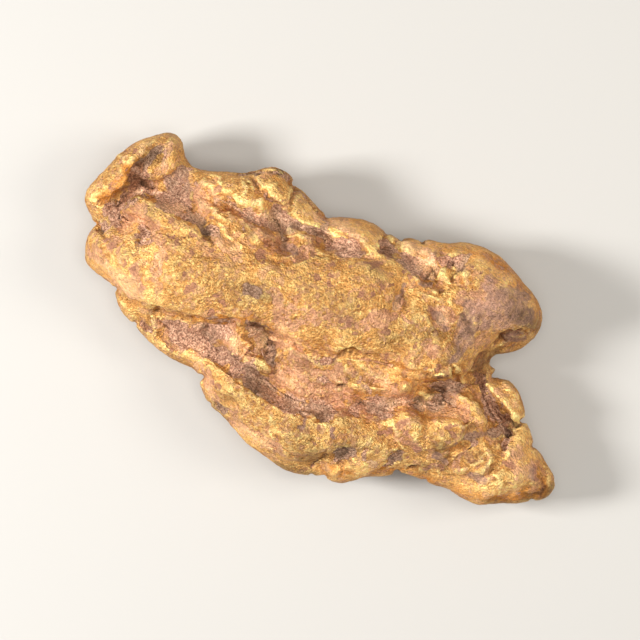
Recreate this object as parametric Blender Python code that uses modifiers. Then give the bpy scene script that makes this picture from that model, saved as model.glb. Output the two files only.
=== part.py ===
"""A water-worn gold nugget, lying on its broad face.

The nugget is one solid. Its plan outline is pressed into relief: every lobe, fold and ridge is a
rounded mound laid along a short spine, the mounds run into one another with creases between them,
and hollows are pressed in where earth has lodged. The underside is built the same way and is worn
flat where it touches the ground.

X runs along the nugget's length, from the folded flap to the pointed toe. Y runs across it, and Z
points up. The origin is at the centre of its bounding box, on the ground. Sizes are millimetres,
turned into Blender's metres when the mesh is finished.
"""

import bpy
import numpy as np
from mathutils import Vector, noise

MM = 0.001

# Driving dimensions, in millimetres.
LENGTH = 15.75
WIDTH = 8.35
RIM_HEIGHT = 1.55  # of the widest line around the nugget, above the ground
RIM_SWING = 0.55  # how far that line rises and falls
FLOOR_HEIGHT = 2.20  # of the ground between the upper lobes
UNDER_HEIGHT = 0.42  # of the ground between the lobes underneath
UPPER_ROUNDING = 0.25  # how far in from the outline the upper face curves over where it is low
HIGH_ROUNDING = 0.38  # and how much farther for each millimetre that it stands above the rim
UNDER_ROUNDING = 1.35  # the same for the underside
EDGE_WALL = 0.03  # how far outside the outline those curves would begin
EDGE_STEEPNESS = 0.56  # 0.5 for a quarter of an ellipse, more for a rim that is less upright
CROWN_ROUNDING = 0.85  # a mound's drop from its crown to its shoulder, in half widths
FLANK_SLOPE = 3.4  # of a mound's side once it is past its half width
CREASE_BLEND = 0.08  # how far two mounds melt together where they meet
UNDER_BLEND = 0.45  # the same underneath, where wear has closed the creases
WEAR_DEPTH = 0.05  # of the flats that the ground has worn underneath
LUMPS = [(1.5, 0.11), (0.80, 0.12), (0.42, 0.055)]  # sizes and heights of the hammered lumps
SIDE_LUMPS = 0.4  # share of those heights left on the upright sides

NET = 0.09  # side of the squares that the relief is pressed into
FINE_NET = 0.08  # side of the squares once the pressed net is made even
TRIANGLES = 9200

GOLD = (0.80, 0.50, 0.16, 1.0)

# The plan outline, clockwise from the flap at the left. Each point is (x, y).
FLAP_EDGE = [
    (-7.87, -0.05), (-7.80, 0.35), (-7.62, 1.10), (-7.45, 1.65), (-7.02, 2.18),
    (-6.72, 2.46), (-6.45, 2.55), (-6.22, 2.49), (-5.97, 2.17), (-5.66, 1.99),
]
UPPER_EDGE = [
    (-5.40, 2.02), (-4.80, 2.35), (-4.25, 2.60), (-3.82, 3.00), (-3.58, 3.15), (-3.22, 3.20),
    (-2.96, 3.13), (-2.88, 2.98), (-2.60, 2.97), (-2.28, 2.88), (-1.90, 2.78), (-1.58, 2.70),
    (-1.35, 2.84), (-0.95, 3.00), (-0.62, 3.13), (-0.20, 3.16), (0.14, 3.10), (0.30, 3.18),
    (0.55, 3.12), (0.63, 3.24), (0.85, 3.38), (1.06, 3.38), (1.14, 3.52), (1.70, 3.77),
]
SHOULDER_EDGE = [
    (2.05, 4.01), (2.45, 4.11), (2.85, 4.17), (3.35, 4.14), (3.90, 3.98), (4.25, 3.82),
    (4.55, 3.77), (4.90, 3.58), (5.12, 3.33), (5.23, 2.90), (5.20, 2.50), (5.02, 2.15),
    (4.80, 1.94), (4.66, 1.77), (4.50, 1.72),
]
NECK_EDGE = [(4.46, 1.58), (4.52, 1.40), (4.69, 1.31), (4.70, 1.16)]
CRESCENT_EDGE = [
    (4.82, 1.09), (5.02, 1.12), (5.22, 1.19), (5.48, 1.11), (5.74, 1.00), (6.00, 0.78),
    (6.14, 0.50), (6.04, 0.30),
]
TOE_EDGE = [
    (6.20, 0.38), (6.38, 0.34), (6.62, 0.10), (6.78, -0.06), (7.05, -0.08), (7.22, -0.20),
    (7.60, -0.45), (7.84, -0.76), (7.87, -0.98), (7.74, -1.26), (7.50, -1.42), (7.15, -1.68),
    (6.66, -1.90), (6.45, -2.08), (6.22, -2.28), (5.75, -2.34), (5.18, -2.28),
]
LOWER_EDGE = [
    (4.98, -2.36), (4.60, -2.38), (4.25, -2.46), (3.80, -2.53), (3.62, -2.77), (3.38, -3.01),
    (3.00, -3.25), (2.70, -3.48), (2.42, -3.72), (2.12, -3.77), (2.03, -3.74), (1.80, -3.86),
    (1.45, -4.03), (1.10, -4.14), (0.60, -4.17), (0.20, -4.10), (-0.10, -4.11), (-0.55, -4.00),
    (-1.00, -3.82), (-1.35, -3.74), (-1.85, -3.67), (-2.15, -3.42), (-2.38, -3.15),
    (-2.40, -3.02), (-2.50, -2.96), (-2.84, -2.92), (-3.05, -2.98), (-3.45, -3.05),
    (-4.00, -2.95), (-4.42, -2.87), (-4.80, -2.69),
]
LEFT_LOBE_EDGE = [
    (-5.15, -2.67), (-5.52, -2.50), (-5.75, -2.20), (-5.80, -2.10), (-6.05, -2.04),
    (-6.45, -1.98), (-6.80, -1.86), (-7.08, -1.54), (-7.22, -1.22), (-7.20, -0.95),
    (-7.11, -0.78), (-7.28, -0.74), (-7.50, -0.66), (-7.65, -0.46), (-7.80, -0.30),
]
OUTLINE = (
    FLAP_EDGE + UPPER_EDGE + SHOULDER_EDGE + NECK_EDGE
    + CRESCENT_EDGE + TOE_EDGE + LOWER_EDGE + LEFT_LOBE_EDGE
)

# The mounds of the upper face. Each is a spine of (x, y, height of its crown, half width).
UPPER_MOUNDS = {
    "main hump": [
        (-5.30, -1.05, 3.75, 1.15), (-4.00, -0.68, 4.05, 1.25), (-2.50, -0.20, 4.10, 1.02),
        (-1.50, 0.30, 4.10, 1.12), (-0.50, 0.50, 4.22, 1.35), (0.50, 0.90, 4.22, 1.50),
        (1.25, 1.05, 4.05, 1.25),
    ],
    "right block": [(1.95, 1.25, 3.95, 0.75), (2.50, 1.15, 3.85, 1.05), (3.05, 0.95, 3.60, 0.80)],
    "block collar": [(2.00, 2.05, 3.75, 0.45), (2.60, 2.10, 3.65, 0.45)],
    "left lobe": [(-6.62, -1.22, 3.10, 0.72), (-6.10, -1.30, 3.40, 0.75)],
    "left brow": [
        (-6.40, 0.22, 3.00, 0.28), (-5.60, 0.32, 3.40, 0.32), (-4.80, 0.42, 3.65, 0.30),
        (-3.90, 0.32, 3.85, 0.35),
    ],
    "flap": [
        (-7.55, -0.18, 2.75, 0.42), (-7.42, 0.50, 3.00, 0.46), (-7.25, 1.20, 3.15, 0.42),
        (-6.98, 1.80, 3.10, 0.38), (-6.60, 2.22, 2.80, 0.32),
    ],
    "flap foot": [(-7.45, -0.50, 2.30, 0.28), (-6.98, -0.35, 2.50, 0.26)],
    "ear": [(-6.28, 2.10, 2.75, 0.36), (-6.25, 1.70, 2.80, 0.34), (-6.52, 1.30, 2.70, 0.26)],
    "upper rim": [
        (-5.55, 1.76, 2.55, 0.22), (-5.05, 1.85, 2.95, 0.42), (-4.55, 2.08, 3.15, 0.46),
        (-4.10, 2.25, 3.25, 0.34),
    ],
    "rim foot": [(-5.15, 1.45, 2.80, 0.30), (-4.85, 1.20, 2.85, 0.26)],
    "tongue ridge": [
        (-4.75, 1.15, 3.00, 0.24), (-4.10, 1.08, 3.25, 0.30), (-3.45, 1.15, 3.45, 0.34),
        (-2.90, 1.20, 3.45, 0.34),
    ],
    "lobe a": [(-3.55, 2.70, 3.35, 0.52), (-3.15, 2.66, 3.40, 0.52)],
    "lobe a foot": [(-3.90, 2.12, 3.25, 0.28), (-3.40, 1.98, 3.25, 0.28)],
    "lobe b": [(-2.40, 2.48, 3.10, 0.40), (-1.90, 2.44, 3.15, 0.38)],
    "lobe c": [(-1.22, 2.62, 3.10, 0.34), (-0.62, 2.76, 3.30, 0.40), (-0.12, 2.70, 3.25, 0.38)],
    "upper collar": [(-0.10, 2.42, 3.45, 0.20), (0.60, 2.36, 3.65, 0.24), (1.40, 2.22, 3.75, 0.26)],
    "seam bridge": [(-2.20, 1.86, 2.85, 0.14), (-1.80, 1.76, 2.95, 0.18)],
    "hump brow": [(-1.70, 1.35, 3.35, 0.22), (-1.10, 1.58, 3.60, 0.24), (-0.40, 1.90, 3.75, 0.26)],
    "bead": [(0.27, 3.04, 2.75, 0.15)],
    "lobe d": [(0.70, 3.04, 2.95, 0.24), (0.95, 3.20, 2.95, 0.20)],
    "ridge e": [
        (1.20, 3.34, 3.00, 0.20), (1.62, 3.48, 3.10, 0.24), (2.02, 3.74, 3.10, 0.24),
        (2.35, 3.92, 3.00, 0.20),
    ],
    "knob": [(2.10, 3.06, 3.15, 0.22), (2.18, 2.84, 3.20, 0.20)],
    "shoulder": [(2.95, 3.45, 3.50, 0.62), (3.65, 3.05, 3.75, 1.02), (4.25, 2.95, 3.50, 0.80)],
    "shoulder skirt": [(3.30, 2.30, 3.70, 0.75), (3.45, 1.60, 3.45, 0.55), (3.45, 1.15, 3.20, 0.35)],
    "shoulder rim": [
        (4.40, 3.55, 2.95, 0.28), (4.95, 3.15, 2.65, 0.26), (5.02, 2.60, 2.30, 0.22),
        (4.75, 2.08, 2.05, 0.20),
    ],
    "neck": [(4.25, 1.55, 2.00, 0.26), (4.35, 1.10, 2.05, 0.30), (4.55, 1.25, 1.95, 0.16)],
    "wedge a": [(4.02, 1.35, 3.05, 0.16), (4.05, 0.95, 2.95, 0.20)],
    "wedge b": [(3.60, 0.85, 3.15, 0.20), (3.62, 0.58, 3.00, 0.16)],
    "crescent": [
        (4.88, 0.88, 2.40, 0.24), (5.30, 0.90, 2.65, 0.28), (5.72, 0.72, 2.65, 0.28),
        (5.95, 0.48, 2.45, 0.20),
    ],
    "crescent bead": [(5.20, 1.08, 2.45, 0.14), (5.45, 1.02, 2.45, 0.12)],
    "slit lobe": [(6.22, 0.12, 2.45, 0.26), (6.38, -0.12, 2.55, 0.28)],
    "slit lobe foot": [(6.28, -0.32, 2.55, 0.22), (6.65, -0.35, 2.50, 0.22)],
    "toe": [(6.15, -0.70, 2.85, 0.32), (6.45, -1.10, 2.95, 0.62), (6.30, -1.55, 2.80, 0.60)],
    "toe plate": [(6.90, -0.90, 2.45, 0.55), (7.05, -1.15, 2.30, 0.50)],
    "toe rim": [
        (6.92, -0.28, 2.20, 0.20), (7.40, -0.52, 2.25, 0.20), (7.68, -0.92, 2.05, 0.17),
        (7.45, -1.25, 1.95, 0.17),
    ],
    "toe fold a": [(5.30, -0.82, 2.95, 0.16), (5.02, -1.32, 2.90, 0.16)],
    "toe fold b": [(5.66, -0.88, 3.05, 0.14), (5.46, -1.22, 3.05, 0.15), (5.28, -1.68, 2.90, 0.15)],
    "toe fold c": [(5.86, -0.98, 3.10, 0.15), (5.74, -1.38, 3.05, 0.17)],
    "toe foot": [(5.05, -1.95, 2.55, 0.28), (5.60, -1.98, 2.65, 0.32), (6.15, -1.98, 2.50, 0.28)],
    "tongue": [
        (4.16, 0.10, 2.75, 0.16), (4.60, 0.12, 2.95, 0.24), (4.98, -0.14, 2.95, 0.27),
        (5.14, -0.52, 2.85, 0.25), (5.52, -0.50, 2.70, 0.20),
    ],
    "lump m": [(4.22, -0.95, 3.40, 0.48), (4.62, -0.74, 3.35, 0.38)],
    "lump m foot": [(4.35, -1.62, 2.90, 0.26), (4.62, -1.30, 2.95, 0.26)],
    "middle ridge": [
        (-0.62, -1.22, 3.00, 0.42), (0.15, -1.30, 3.10, 0.46), (0.95, -0.88, 3.40, 0.50),
        (1.65, -0.58, 3.50, 0.50), (2.40, -0.42, 3.45, 0.42),
    ],
    "middle foot": [(-0.20, -1.78, 2.95, 0.42), (0.60, -1.72, 3.05, 0.46), (1.25, -1.72, 2.95, 0.36)],
    "right mass": [(2.95, -1.42, 3.30, 0.36), (3.40, -1.28, 3.45, 0.48), (3.75, -1.55, 3.25, 0.42)],
    "lower ridge": [
        (-2.25, -2.76, 2.75, 0.30), (-1.35, -2.92, 3.05, 0.40), (-0.30, -3.10, 3.30, 0.56),
        (0.75, -3.00, 3.50, 0.66), (1.70, -2.50, 3.60, 0.64), (2.60, -2.18, 3.45, 0.44),
        (3.15, -2.16, 3.20, 0.34),
    ],
    "lower lip a": [(-2.05, -3.25, 2.35, 0.30), (-1.70, -3.30, 2.30, 0.24)],
    "lower lip b": [(-1.25, -3.32, 2.60, 0.26), (-1.05, -3.42, 2.50, 0.22)],
    "lower lip c": [(-0.75, -3.72, 2.10, 0.20), (-0.10, -3.84, 2.30, 0.24), (0.50, -3.78, 2.35, 0.26)],
    "lower lip d": [(0.95, -3.82, 2.25, 0.26), (1.45, -3.72, 2.20, 0.24)],
    "knob x": [(2.65, -2.98, 3.20, 0.36)],
    "knob y": [(1.98, -3.50, 2.80, 0.27), (2.34, -3.48, 2.80, 0.24)],
    "lower bead a": [(2.98, -2.46, 2.90, 0.22)],
    "lower bead b": [(3.30, -2.76, 2.30, 0.20), (3.52, -2.58, 2.30, 0.16)],
    "lower bead c": [(3.80, -2.20, 2.60, 0.24)],
    "lower bead d": [(4.40, -2.18, 2.40, 0.20), (4.78, -2.12, 2.45, 0.24)],
    "lower fold": [(4.20, -1.92, 2.70, 0.18), (4.70, -1.78, 2.70, 0.18)],
    "left rim": [
        (-5.48, -2.26, 2.25, 0.20), (-4.92, -2.46, 2.30, 0.18), (-4.30, -2.72, 2.25, 0.14),
        (-3.55, -2.80, 2.35, 0.20), (-2.90, -2.74, 2.45, 0.20),
    ],
    "left rib": [(-4.36, -2.30, 2.60, 0.10), (-4.14, -2.58, 2.50, 0.11)],
    "island a": [(-2.26, -1.56, 3.05, 0.20), (-1.95, -1.86, 3.00, 0.18)],
    "island b": [(-1.40, -1.87, 3.05, 0.17), (-1.02, -1.86, 3.05, 0.15), (-0.75, -1.78, 2.95, 0.13)],
    "hollow bar": [(-1.95, -0.52, 3.55, 0.14), (-1.72, -0.66, 3.40, 0.14)],
}

# Hollows pressed into the upper face. Each is a spine of (x, y, depth, half width).
HOLLOWS = {
    "flap valley": [
        (-6.62, 2.10, 0.25, 0.16), (-6.80, 1.55, 0.50, 0.20), (-6.82, 1.00, 0.60, 0.22),
        (-6.78, 0.40, 0.60, 0.24), (-6.86, -0.02, 0.50, 0.22), (-7.25, -0.20, 0.30, 0.14),
    ],
    "left shelf": [(-5.10, -2.45, 0.35, 0.40), (-4.00, -2.40, 0.45, 0.45), (-2.90, -2.25, 0.30, 0.50)],
    "flap notch": [(-7.10, -0.75, 0.60, 0.12), (-6.82, -0.86, 0.35, 0.10)],
    "upper left hollow": [(-6.20, 0.95, 0.25, 0.35), (-5.60, 1.10, 0.30, 0.45), (-4.90, 0.85, 0.35, 0.25)],
    "brow hollow": [(-5.75, -0.20, 0.40, 0.28), (-5.78, -0.60, 0.30, 0.16)],
    "brow crease": [(-5.30, -0.04, 0.18, 0.12), (-4.60, 0.02, 0.12, 0.12), (-3.60, 0.05, 0.08, 0.12)],
    "brow end": [(-4.50, 0.72, 0.30, 0.14), (-4.00, 0.55, 0.30, 0.14)],
    "upper valley": [
        (-4.30, 1.68, 0.25, 0.22), (-3.60, 1.62, 0.30, 0.22), (-2.90, 1.80, 0.40, 0.28),
        (-2.30, 1.70, 0.45, 0.28), (-1.60, 1.98, 0.40, 0.22), (-0.95, 2.05, 0.45, 0.26),
        (-0.40, 2.15, 0.30, 0.20),
    ],
    "round pit": [(-2.12, 1.38, 0.40, 0.26)],
    "amber pan": [(-2.45, 1.08, 0.35, 0.32), (-2.10, 0.98, 0.30, 0.24)],
    "upper right hollow": [
        (0.30, 2.70, 0.45, 0.22), (0.90, 2.66, 0.35, 0.22), (1.50, 2.86, 0.45, 0.34),
        (2.00, 2.56, 0.35, 0.20),
    ],
    "upper right gully": [(1.75, 3.10, 0.30, 0.26), (2.20, 3.40, 0.35, 0.20), (2.45, 3.75, 0.25, 0.13)],
    "knob gully": [(2.38, 3.15, 0.35, 0.12), (2.40, 2.82, 0.25, 0.10)],
    "block furrow": [(1.28, 1.98, 0.40, 0.15), (1.42, 1.50, 0.50, 0.17), (1.60, 1.05, 0.20, 0.12)],
    "collar furrow": [(0.95, 2.28, 0.18, 0.14), (0.25, 2.12, 0.20, 0.20)],
    "shoulder furrow": [(2.30, 1.88, 0.22, 0.14), (2.75, 1.72, 0.22, 0.14), (3.10, 1.62, 0.15, 0.14)],
    "lip recess": [(4.30, 1.92, 0.45, 0.16), (4.55, 2.25, 0.55, 0.20), (4.88, 2.52, 0.40, 0.16)],
    "neck hollow": [(4.20, 1.15, 0.35, 0.16), (4.45, 0.70, 0.45, 0.22), (5.00, 0.42, 0.45, 0.22)],
    "crescent hollow": [(5.25, 0.30, 0.45, 0.24), (5.70, 0.20, 0.50, 0.20), (5.50, -0.10, 0.35, 0.18)],
    "slit": [(6.04, 0.32, 0.90, 0.07), (5.93, 0.18, 0.80, 0.07)],
    "pinhole": [(5.87, -0.05, 1.10, 0.09)],
    "dark hollow": [(3.35, 0.00, 0.70, 0.26), (3.70, 0.15, 0.65, 0.30), (4.05, -0.20, 0.45, 0.26)],
    "dark hollow foot": [(3.15, -0.60, 0.45, 0.24), (3.60, -0.55, 0.40, 0.24)],
    "right valley": [(2.55, -0.85, 0.30, 0.24), (2.40, -1.15, 0.45, 0.26), (2.00, -1.45, 0.45, 0.26)],
    "right valley foot": [(1.60, -1.42, 0.30, 0.20), (1.10, -1.98, 0.35, 0.22), (1.12, -2.25, 0.45, 0.17)],
    "middle valley": [(0.25, -2.28, 0.40, 0.26), (-0.45, -2.35, 0.50, 0.30), (-1.05, -2.30, 0.60, 0.28)],
    "left gully": [(-1.45, -2.18, 0.35, 0.20), (-2.10, -2.20, 0.25, 0.22), (-3.00, -2.15, 0.20, 0.24)],
    "cavern": [(-1.80, -1.00, 0.55, 0.20), (-1.35, -1.12, 0.75, 0.26), (-1.15, -1.48, 0.60, 0.22)],
    "left crack": [(-2.60, -1.98, 0.30, 0.10), (-2.42, -2.40, 0.35, 0.10)],
    "left eye": [(-2.88, -1.88, 0.25, 0.18)],
    "hump underline": [
        (-5.20, -2.24, 0.22, 0.10), (-4.30, -2.06, 0.25, 0.12), (-3.30, -1.78, 0.28, 0.12),
        (-2.50, -1.36, 0.25, 0.12),
    ],
    "rim pocket": [(-4.55, -2.52, 0.30, 0.16)],
    "middle crease": [
        (-0.50, -0.92, 0.25, 0.10), (0.35, -0.86, 0.30, 0.11), (0.72, -0.50, 0.28, 0.10),
        (1.25, -0.22, 0.22, 0.10), (1.80, 0.02, 0.18, 0.10),
    ],
    "hump stain pit": [(-2.50, -0.14, 0.16, 0.22), (-2.20, -0.12, 0.14, 0.18)],
    "toe crease": [(6.00, -0.90, 0.25, 0.10), (6.05, -1.30, 0.22, 0.10)],
    "fold crease": [(5.45, -1.00, 0.22, 0.08), (5.25, -1.42, 0.25, 0.08)],
    "toe gully": [(4.95, -0.62, 0.35, 0.14), (5.15, -0.92, 0.30, 0.12), (4.92, -1.55, 0.28, 0.16)],
    "toe pan": [(6.30, -0.78, 0.16, 0.14), (7.05, -0.60, 0.20, 0.24)],
    "knob furrow": [(2.32, -2.66, 0.30, 0.14), (2.10, -2.92, 0.60, 0.18), (1.94, -3.18, 0.55, 0.14)],
    "lower furrow": [(0.62, -2.45, 0.18, 0.12), (0.72, -2.75, 0.14, 0.10)],
    "lower gully": [(1.62, -3.25, 0.50, 0.16), (1.56, -3.62, 0.50, 0.15)],
    "lip gully": [(-1.62, -3.42, 0.30, 0.13), (-1.40, -3.56, 0.28, 0.12)],
    "bead furrow": [(3.46, -2.06, 0.30, 0.10), (3.42, -2.50, 0.35, 0.11)],
    "bead gully": [(4.14, -2.10, 0.30, 0.13)],
}

# The mounds of the underside. Each is a spine of (x, y, height of its lowest line, half width).
UNDER_MOUNDS = {
    "keel": [(-4.60, -0.70, 0.07, 1.30), (-2.60, -0.30, 0.01, 1.25), (-0.60, 0.40, 0.05, 1.10)],
    "right keel": [(1.10, 0.60, 0.16, 0.95), (2.60, 1.60, 0.02, 1.05), (3.50, 2.60, -0.04, 1.05)],
    "lower keel": [(-0.60, -2.90, 0.20, 0.70), (0.90, -2.60, -0.14, 0.95), (2.20, -2.20, -0.02, 0.80)],
    "toe keel": [(4.30, -1.30, 0.14, 0.75), (5.60, -1.20, -0.10, 0.85), (6.60, -1.10, 0.12, 0.70)],
    "upper lobe": [(-3.60, 2.20, 0.32, 0.75), (-2.20, 2.00, 0.26, 0.65)],
    "middle lobe": [(-0.60, 2.30, 0.28, 0.70), (0.70, 2.50, 0.34, 0.60)],
    "flap lobe": [(-7.10, 0.30, 0.40, 0.60), (-6.60, 1.50, 0.36, 0.65)],
    "left lobe": [(-6.40, -1.20, 0.28, 0.62)],
    "neck lobe": [(4.30, 0.60, 0.42, 0.55), (5.30, 0.35, 0.46, 0.50)],
    "waist lobe": [(1.90, -0.70, 0.24, 0.60), (3.10, -0.50, 0.30, 0.55)],
    "rim lobe": [(-3.90, -2.30, 0.36, 0.50), (-2.90, -2.20, 0.32, 0.50)],
    "shoulder lobe": [(4.30, 2.50, 0.24, 0.60)],
}

UNDER_HOLLOWS = {
    "long furrow": [(-4.80, 0.95, 0.22, 0.26), (-3.20, 1.05, 0.28, 0.28), (-1.60, 1.35, 0.24, 0.24)],
    "cross furrow": [(-1.30, -1.55, 0.26, 0.24), (0.20, -1.20, 0.30, 0.28), (1.20, -1.50, 0.22, 0.22)],
    "toe furrow": [(3.60, 0.20, 0.24, 0.22), (3.50, -0.60, 0.22, 0.22), (3.30, -1.60, 0.20, 0.20)],
    "pit": [(-2.90, 0.30, 0.16, 0.22)],
    "shoulder pit": [(2.20, 3.00, 0.20, 0.28)],
    "toe pit": [(6.10, -0.20, 0.16, 0.22)],
}


def clear_scene():
    for obj in list(bpy.data.objects):
        bpy.data.objects.remove(obj, do_unlink=True)


def collection(name):
    made = bpy.data.collections.new(name)
    bpy.context.scene.collection.children.link(made)
    return made


def evaluated_mesh(obj):
    """The object's mesh as a new mesh, with its modifiers applied."""
    bpy.context.view_layer.update()
    graph = bpy.context.evaluated_depsgraph_get()
    return bpy.data.meshes.new_from_object(obj.evaluated_get(graph))


def add_remesh(obj, side):
    remesh = obj.modifiers.new("even net", "REMESH")
    remesh.mode = "VOXEL"
    remesh.voxel_size = side


def outline_curve(name, half_height, home):
    """The plan outline as a filled 2D curve, smooth through its points, with upright sides."""
    data = bpy.data.curves.new(name, "CURVE")
    data.dimensions = "2D"
    data.fill_mode = "BOTH"
    data.extrude = half_height
    data.resolution_u = 6
    spline = data.splines.new("BEZIER")
    spline.bezier_points.add(len(OUTLINE) - 1)
    for knot, (x, y) in zip(spline.bezier_points, OUTLINE):
        knot.co = (x, y, 0)
        knot.handle_left_type = knot.handle_right_type = "AUTO"
    spline.use_cyclic_u = True
    obj = bpy.data.objects.new(name, data)
    home.objects.link(obj)
    return obj


def blank(home):
    """The outline as a slab of even squares, and the outline's own points as they were drawn."""
    curve = outline_curve("outline", 1.0, home)
    slab = bpy.data.objects.new("slab", evaluated_mesh(curve))
    home.objects.link(slab)
    edge = np.array([v.co.to_2d() for v in slab.data.vertices if v.co.z > 0])
    add_remesh(slab, NET)
    net = evaluated_mesh(slab)
    bpy.data.objects.remove(curve)
    bpy.data.objects.remove(slab)
    return net, edge


def spine_reach(plan, spine):
    """How far each plan point is from a spine, in half widths, with the spine's third value and
    half width there."""
    nearest = np.full(len(plan), np.inf)
    value = np.zeros(len(plan))
    width = np.ones(len(plan))
    knots = spine if len(spine) > 1 else [spine[0], spine[0]]
    for start, end in zip(knots, knots[1:]):
        start, end = np.array(start), np.array(end)
        run = end[:2] - start[:2]
        share = np.clip((plan - start[:2]) @ run / max(run @ run, 1e-9), 0, 1)
        here = start + share[:, None] * (end - start)
        reach = np.linalg.norm(plan - here[:, :2], axis=1) / here[:, 3]
        closer = reach < nearest
        nearest[closer] = reach[closer]
        value[closer] = here[closer, 2]
        width[closer] = here[closer, 3]
    return nearest, value, width


def smooth_max(a, b, blend):
    """The greater of two heights, rounded over where they are nearly the same."""
    near = np.clip(1 - np.abs(a - b) / blend, 0, 1)
    return np.maximum(a, b) + near * near * blend / 4


def mound_height(plan, spine):
    """A mound's height: a broad crown, a rounded shoulder, then a steep flank."""
    reach, crown, width = spine_reach(plan, spine)
    inside = np.minimum(reach, 1)
    rounding = CROWN_ROUNDING * width * (1 - np.sqrt(1 - inside**2.4))
    flank = FLANK_SLOPE * width * np.maximum(reach - 1, 0)
    return crown - rounding - flank


def hollow_depth(plan, spine):
    """A smooth dip, deepest along its spine and gone at 1.4 half widths."""
    reach, depth, _ = spine_reach(plan, spine)
    return depth * np.clip(1 - (reach / 1.4) ** 2, 0, None) ** 2


def inset_from(plan, edge):
    """How far inside the outline each plan point is."""
    inset = np.full(len(plan), np.inf)
    for start, end in zip(edge, np.roll(edge, -1, axis=0)):
        run = end - start
        share = np.clip((plan - start) @ run / max(run @ run, 1e-12), 0, 1)
        inset = np.minimum(inset, np.linalg.norm(plan - start - share[:, None] * run, axis=1))
    return inset


def edge_share(inset, rounding):
    """How much of its full height the nugget has: little at the outline, all of it inside."""
    reach = np.clip((inset + EDGE_WALL) / rounding, 0, 1)
    return (1 - (1 - reach) ** 2) ** EDGE_STEEPNESS


def swell(plan, size, layer):
    """Slow, even noise between about -1 and 1, with lumps of this size in millimetres."""
    return np.array([noise.noise(Vector((x / size, y / size, layer))) for x, y in plan])


def wander(plan, size, reach, layer):
    """The plan points moved about a little, so that nothing laid on them runs straight."""
    shift = np.stack([swell(plan, size, layer), swell(plan, size, layer + 5)], axis=1)
    return plan + reach * shift


def upper_height(plan):
    laid = wander(plan, 0.9, 0.16, 40.5)
    height = FLOOR_HEIGHT + 0.14 * swell(plan, 1.1, 0.5)
    for spine in UPPER_MOUNDS.values():
        height = smooth_max(height, mound_height(laid, spine), CREASE_BLEND)
    for spine in HOLLOWS.values():
        height = height - hollow_depth(laid, spine)
    return height


def under_height(plan):
    """The underside, worked out upside down."""
    laid = wander(plan, 1.6, 0.55, 60.5)
    depth = -UNDER_HEIGHT + 0.22 * swell(plan, 1.8, 20.5)
    for spine in UNDER_MOUNDS.values():
        turned = [(x, y, -low, width) for x, y, low, width in spine]
        depth = smooth_max(depth, mound_height(laid, turned), UNDER_BLEND)
    for spine in UNDER_HOLLOWS.values():
        depth = depth - hollow_depth(laid, spine)
    return -depth


def press_relief(net, edge):
    """Moves the slab's points up or down, so that its two faces become the nugget's."""
    points = np.empty(len(net.vertices) * 3)
    net.vertices.foreach_get("co", points)
    points = points.reshape(-1, 3)
    plan = points[:, :2]
    inset = inset_from(plan, edge)
    rim = RIM_HEIGHT + RIM_SWING * swell(plan, 2.4, 12.5)
    above = upper_height(plan) - rim
    rise = above * edge_share(inset, UPPER_ROUNDING + HIGH_ROUNDING * np.maximum(above, 0))
    drop = (rim - under_height(plan)) * edge_share(inset, UNDER_ROUNDING)
    up = np.clip(points[:, 2], 0, 1)
    down = np.clip(-points[:, 2], 0, 1)
    points[:, 2] = rim + up * rise - down * drop
    net.vertices.foreach_set("co", points.ravel())
    net.update()


def hammer(mesh):
    """Pushes the surface in and out along its normals into low lumps, on the sides too."""
    points = np.empty(len(mesh.vertices) * 3)
    normals = np.empty(len(mesh.vertices) * 3)
    mesh.vertices.foreach_get("co", points)
    mesh.vertices.foreach_get("normal", normals)
    points = points.reshape(-1, 3)
    height = np.zeros(len(points))
    for size, lift in LUMPS:
        height += lift * np.array([noise.noise(Vector(point / size)) for point in points])
    normals = normals.reshape(-1, 3)
    height *= SIDE_LUMPS + (1 - SIDE_LUMPS) * np.abs(normals[:, 2])
    points += height[:, None] * normals
    mesh.vertices.foreach_set("co", points.ravel())
    mesh.update()


def make_ground(home):
    """A block whose top is the ground. It cuts away what is worn off the underside."""
    bpy.ops.mesh.primitive_cube_add(size=1)
    ground = bpy.context.object
    ground.name = "ground"
    ground.scale = (20, 12, 2)
    ground.location = (0, 0, WEAR_DEPTH - 1)
    bpy.ops.object.transform_apply(location=True, rotation=False, scale=True)
    ground.hide_render = True
    ground.display_type = "WIRE"
    for old in list(ground.users_collection):
        old.objects.unlink(ground)
    home.objects.link(ground)
    return ground


def gold_material():
    material = bpy.data.materials.new("native gold")
    material.use_nodes = True
    surface = material.node_tree.nodes["Principled BSDF"]
    surface.inputs["Base Color"].default_value = GOLD
    surface.inputs["Metallic"].default_value = 1.0
    surface.inputs["Roughness"].default_value = 0.38
    return material


def make_nugget(home, helpers):
    net, edge = blank(home)
    press_relief(net, edge)
    nugget = bpy.data.objects.new("nugget", net)
    home.objects.link(nugget)
    add_remesh(nugget, FINE_NET)
    nugget.data = evaluated_mesh(nugget)
    nugget.modifiers.clear()
    hammer(nugget.data)
    add_remesh(nugget, FINE_NET)
    ease = nugget.modifiers.new("ease", "SMOOTH")
    ease.factor = 0.5
    ease.iterations = 1
    faces = len(evaluated_mesh(nugget).polygons) * 2
    thin = nugget.modifiers.new("thin out", "DECIMATE")
    thin.ratio = TRIANGLES / faces
    wear = nugget.modifiers.new("wear flat", "BOOLEAN")
    wear.operation = "DIFFERENCE"
    wear.solver = "EXACT"
    wear.object = make_ground(helpers)
    finished = evaluated_mesh(nugget)
    nugget.modifiers.clear()
    nugget.data = finished
    centre_on_ground(finished)
    finished.materials.clear()
    finished.materials.append(gold_material())
    finished.shade_smooth()
    return nugget


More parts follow.
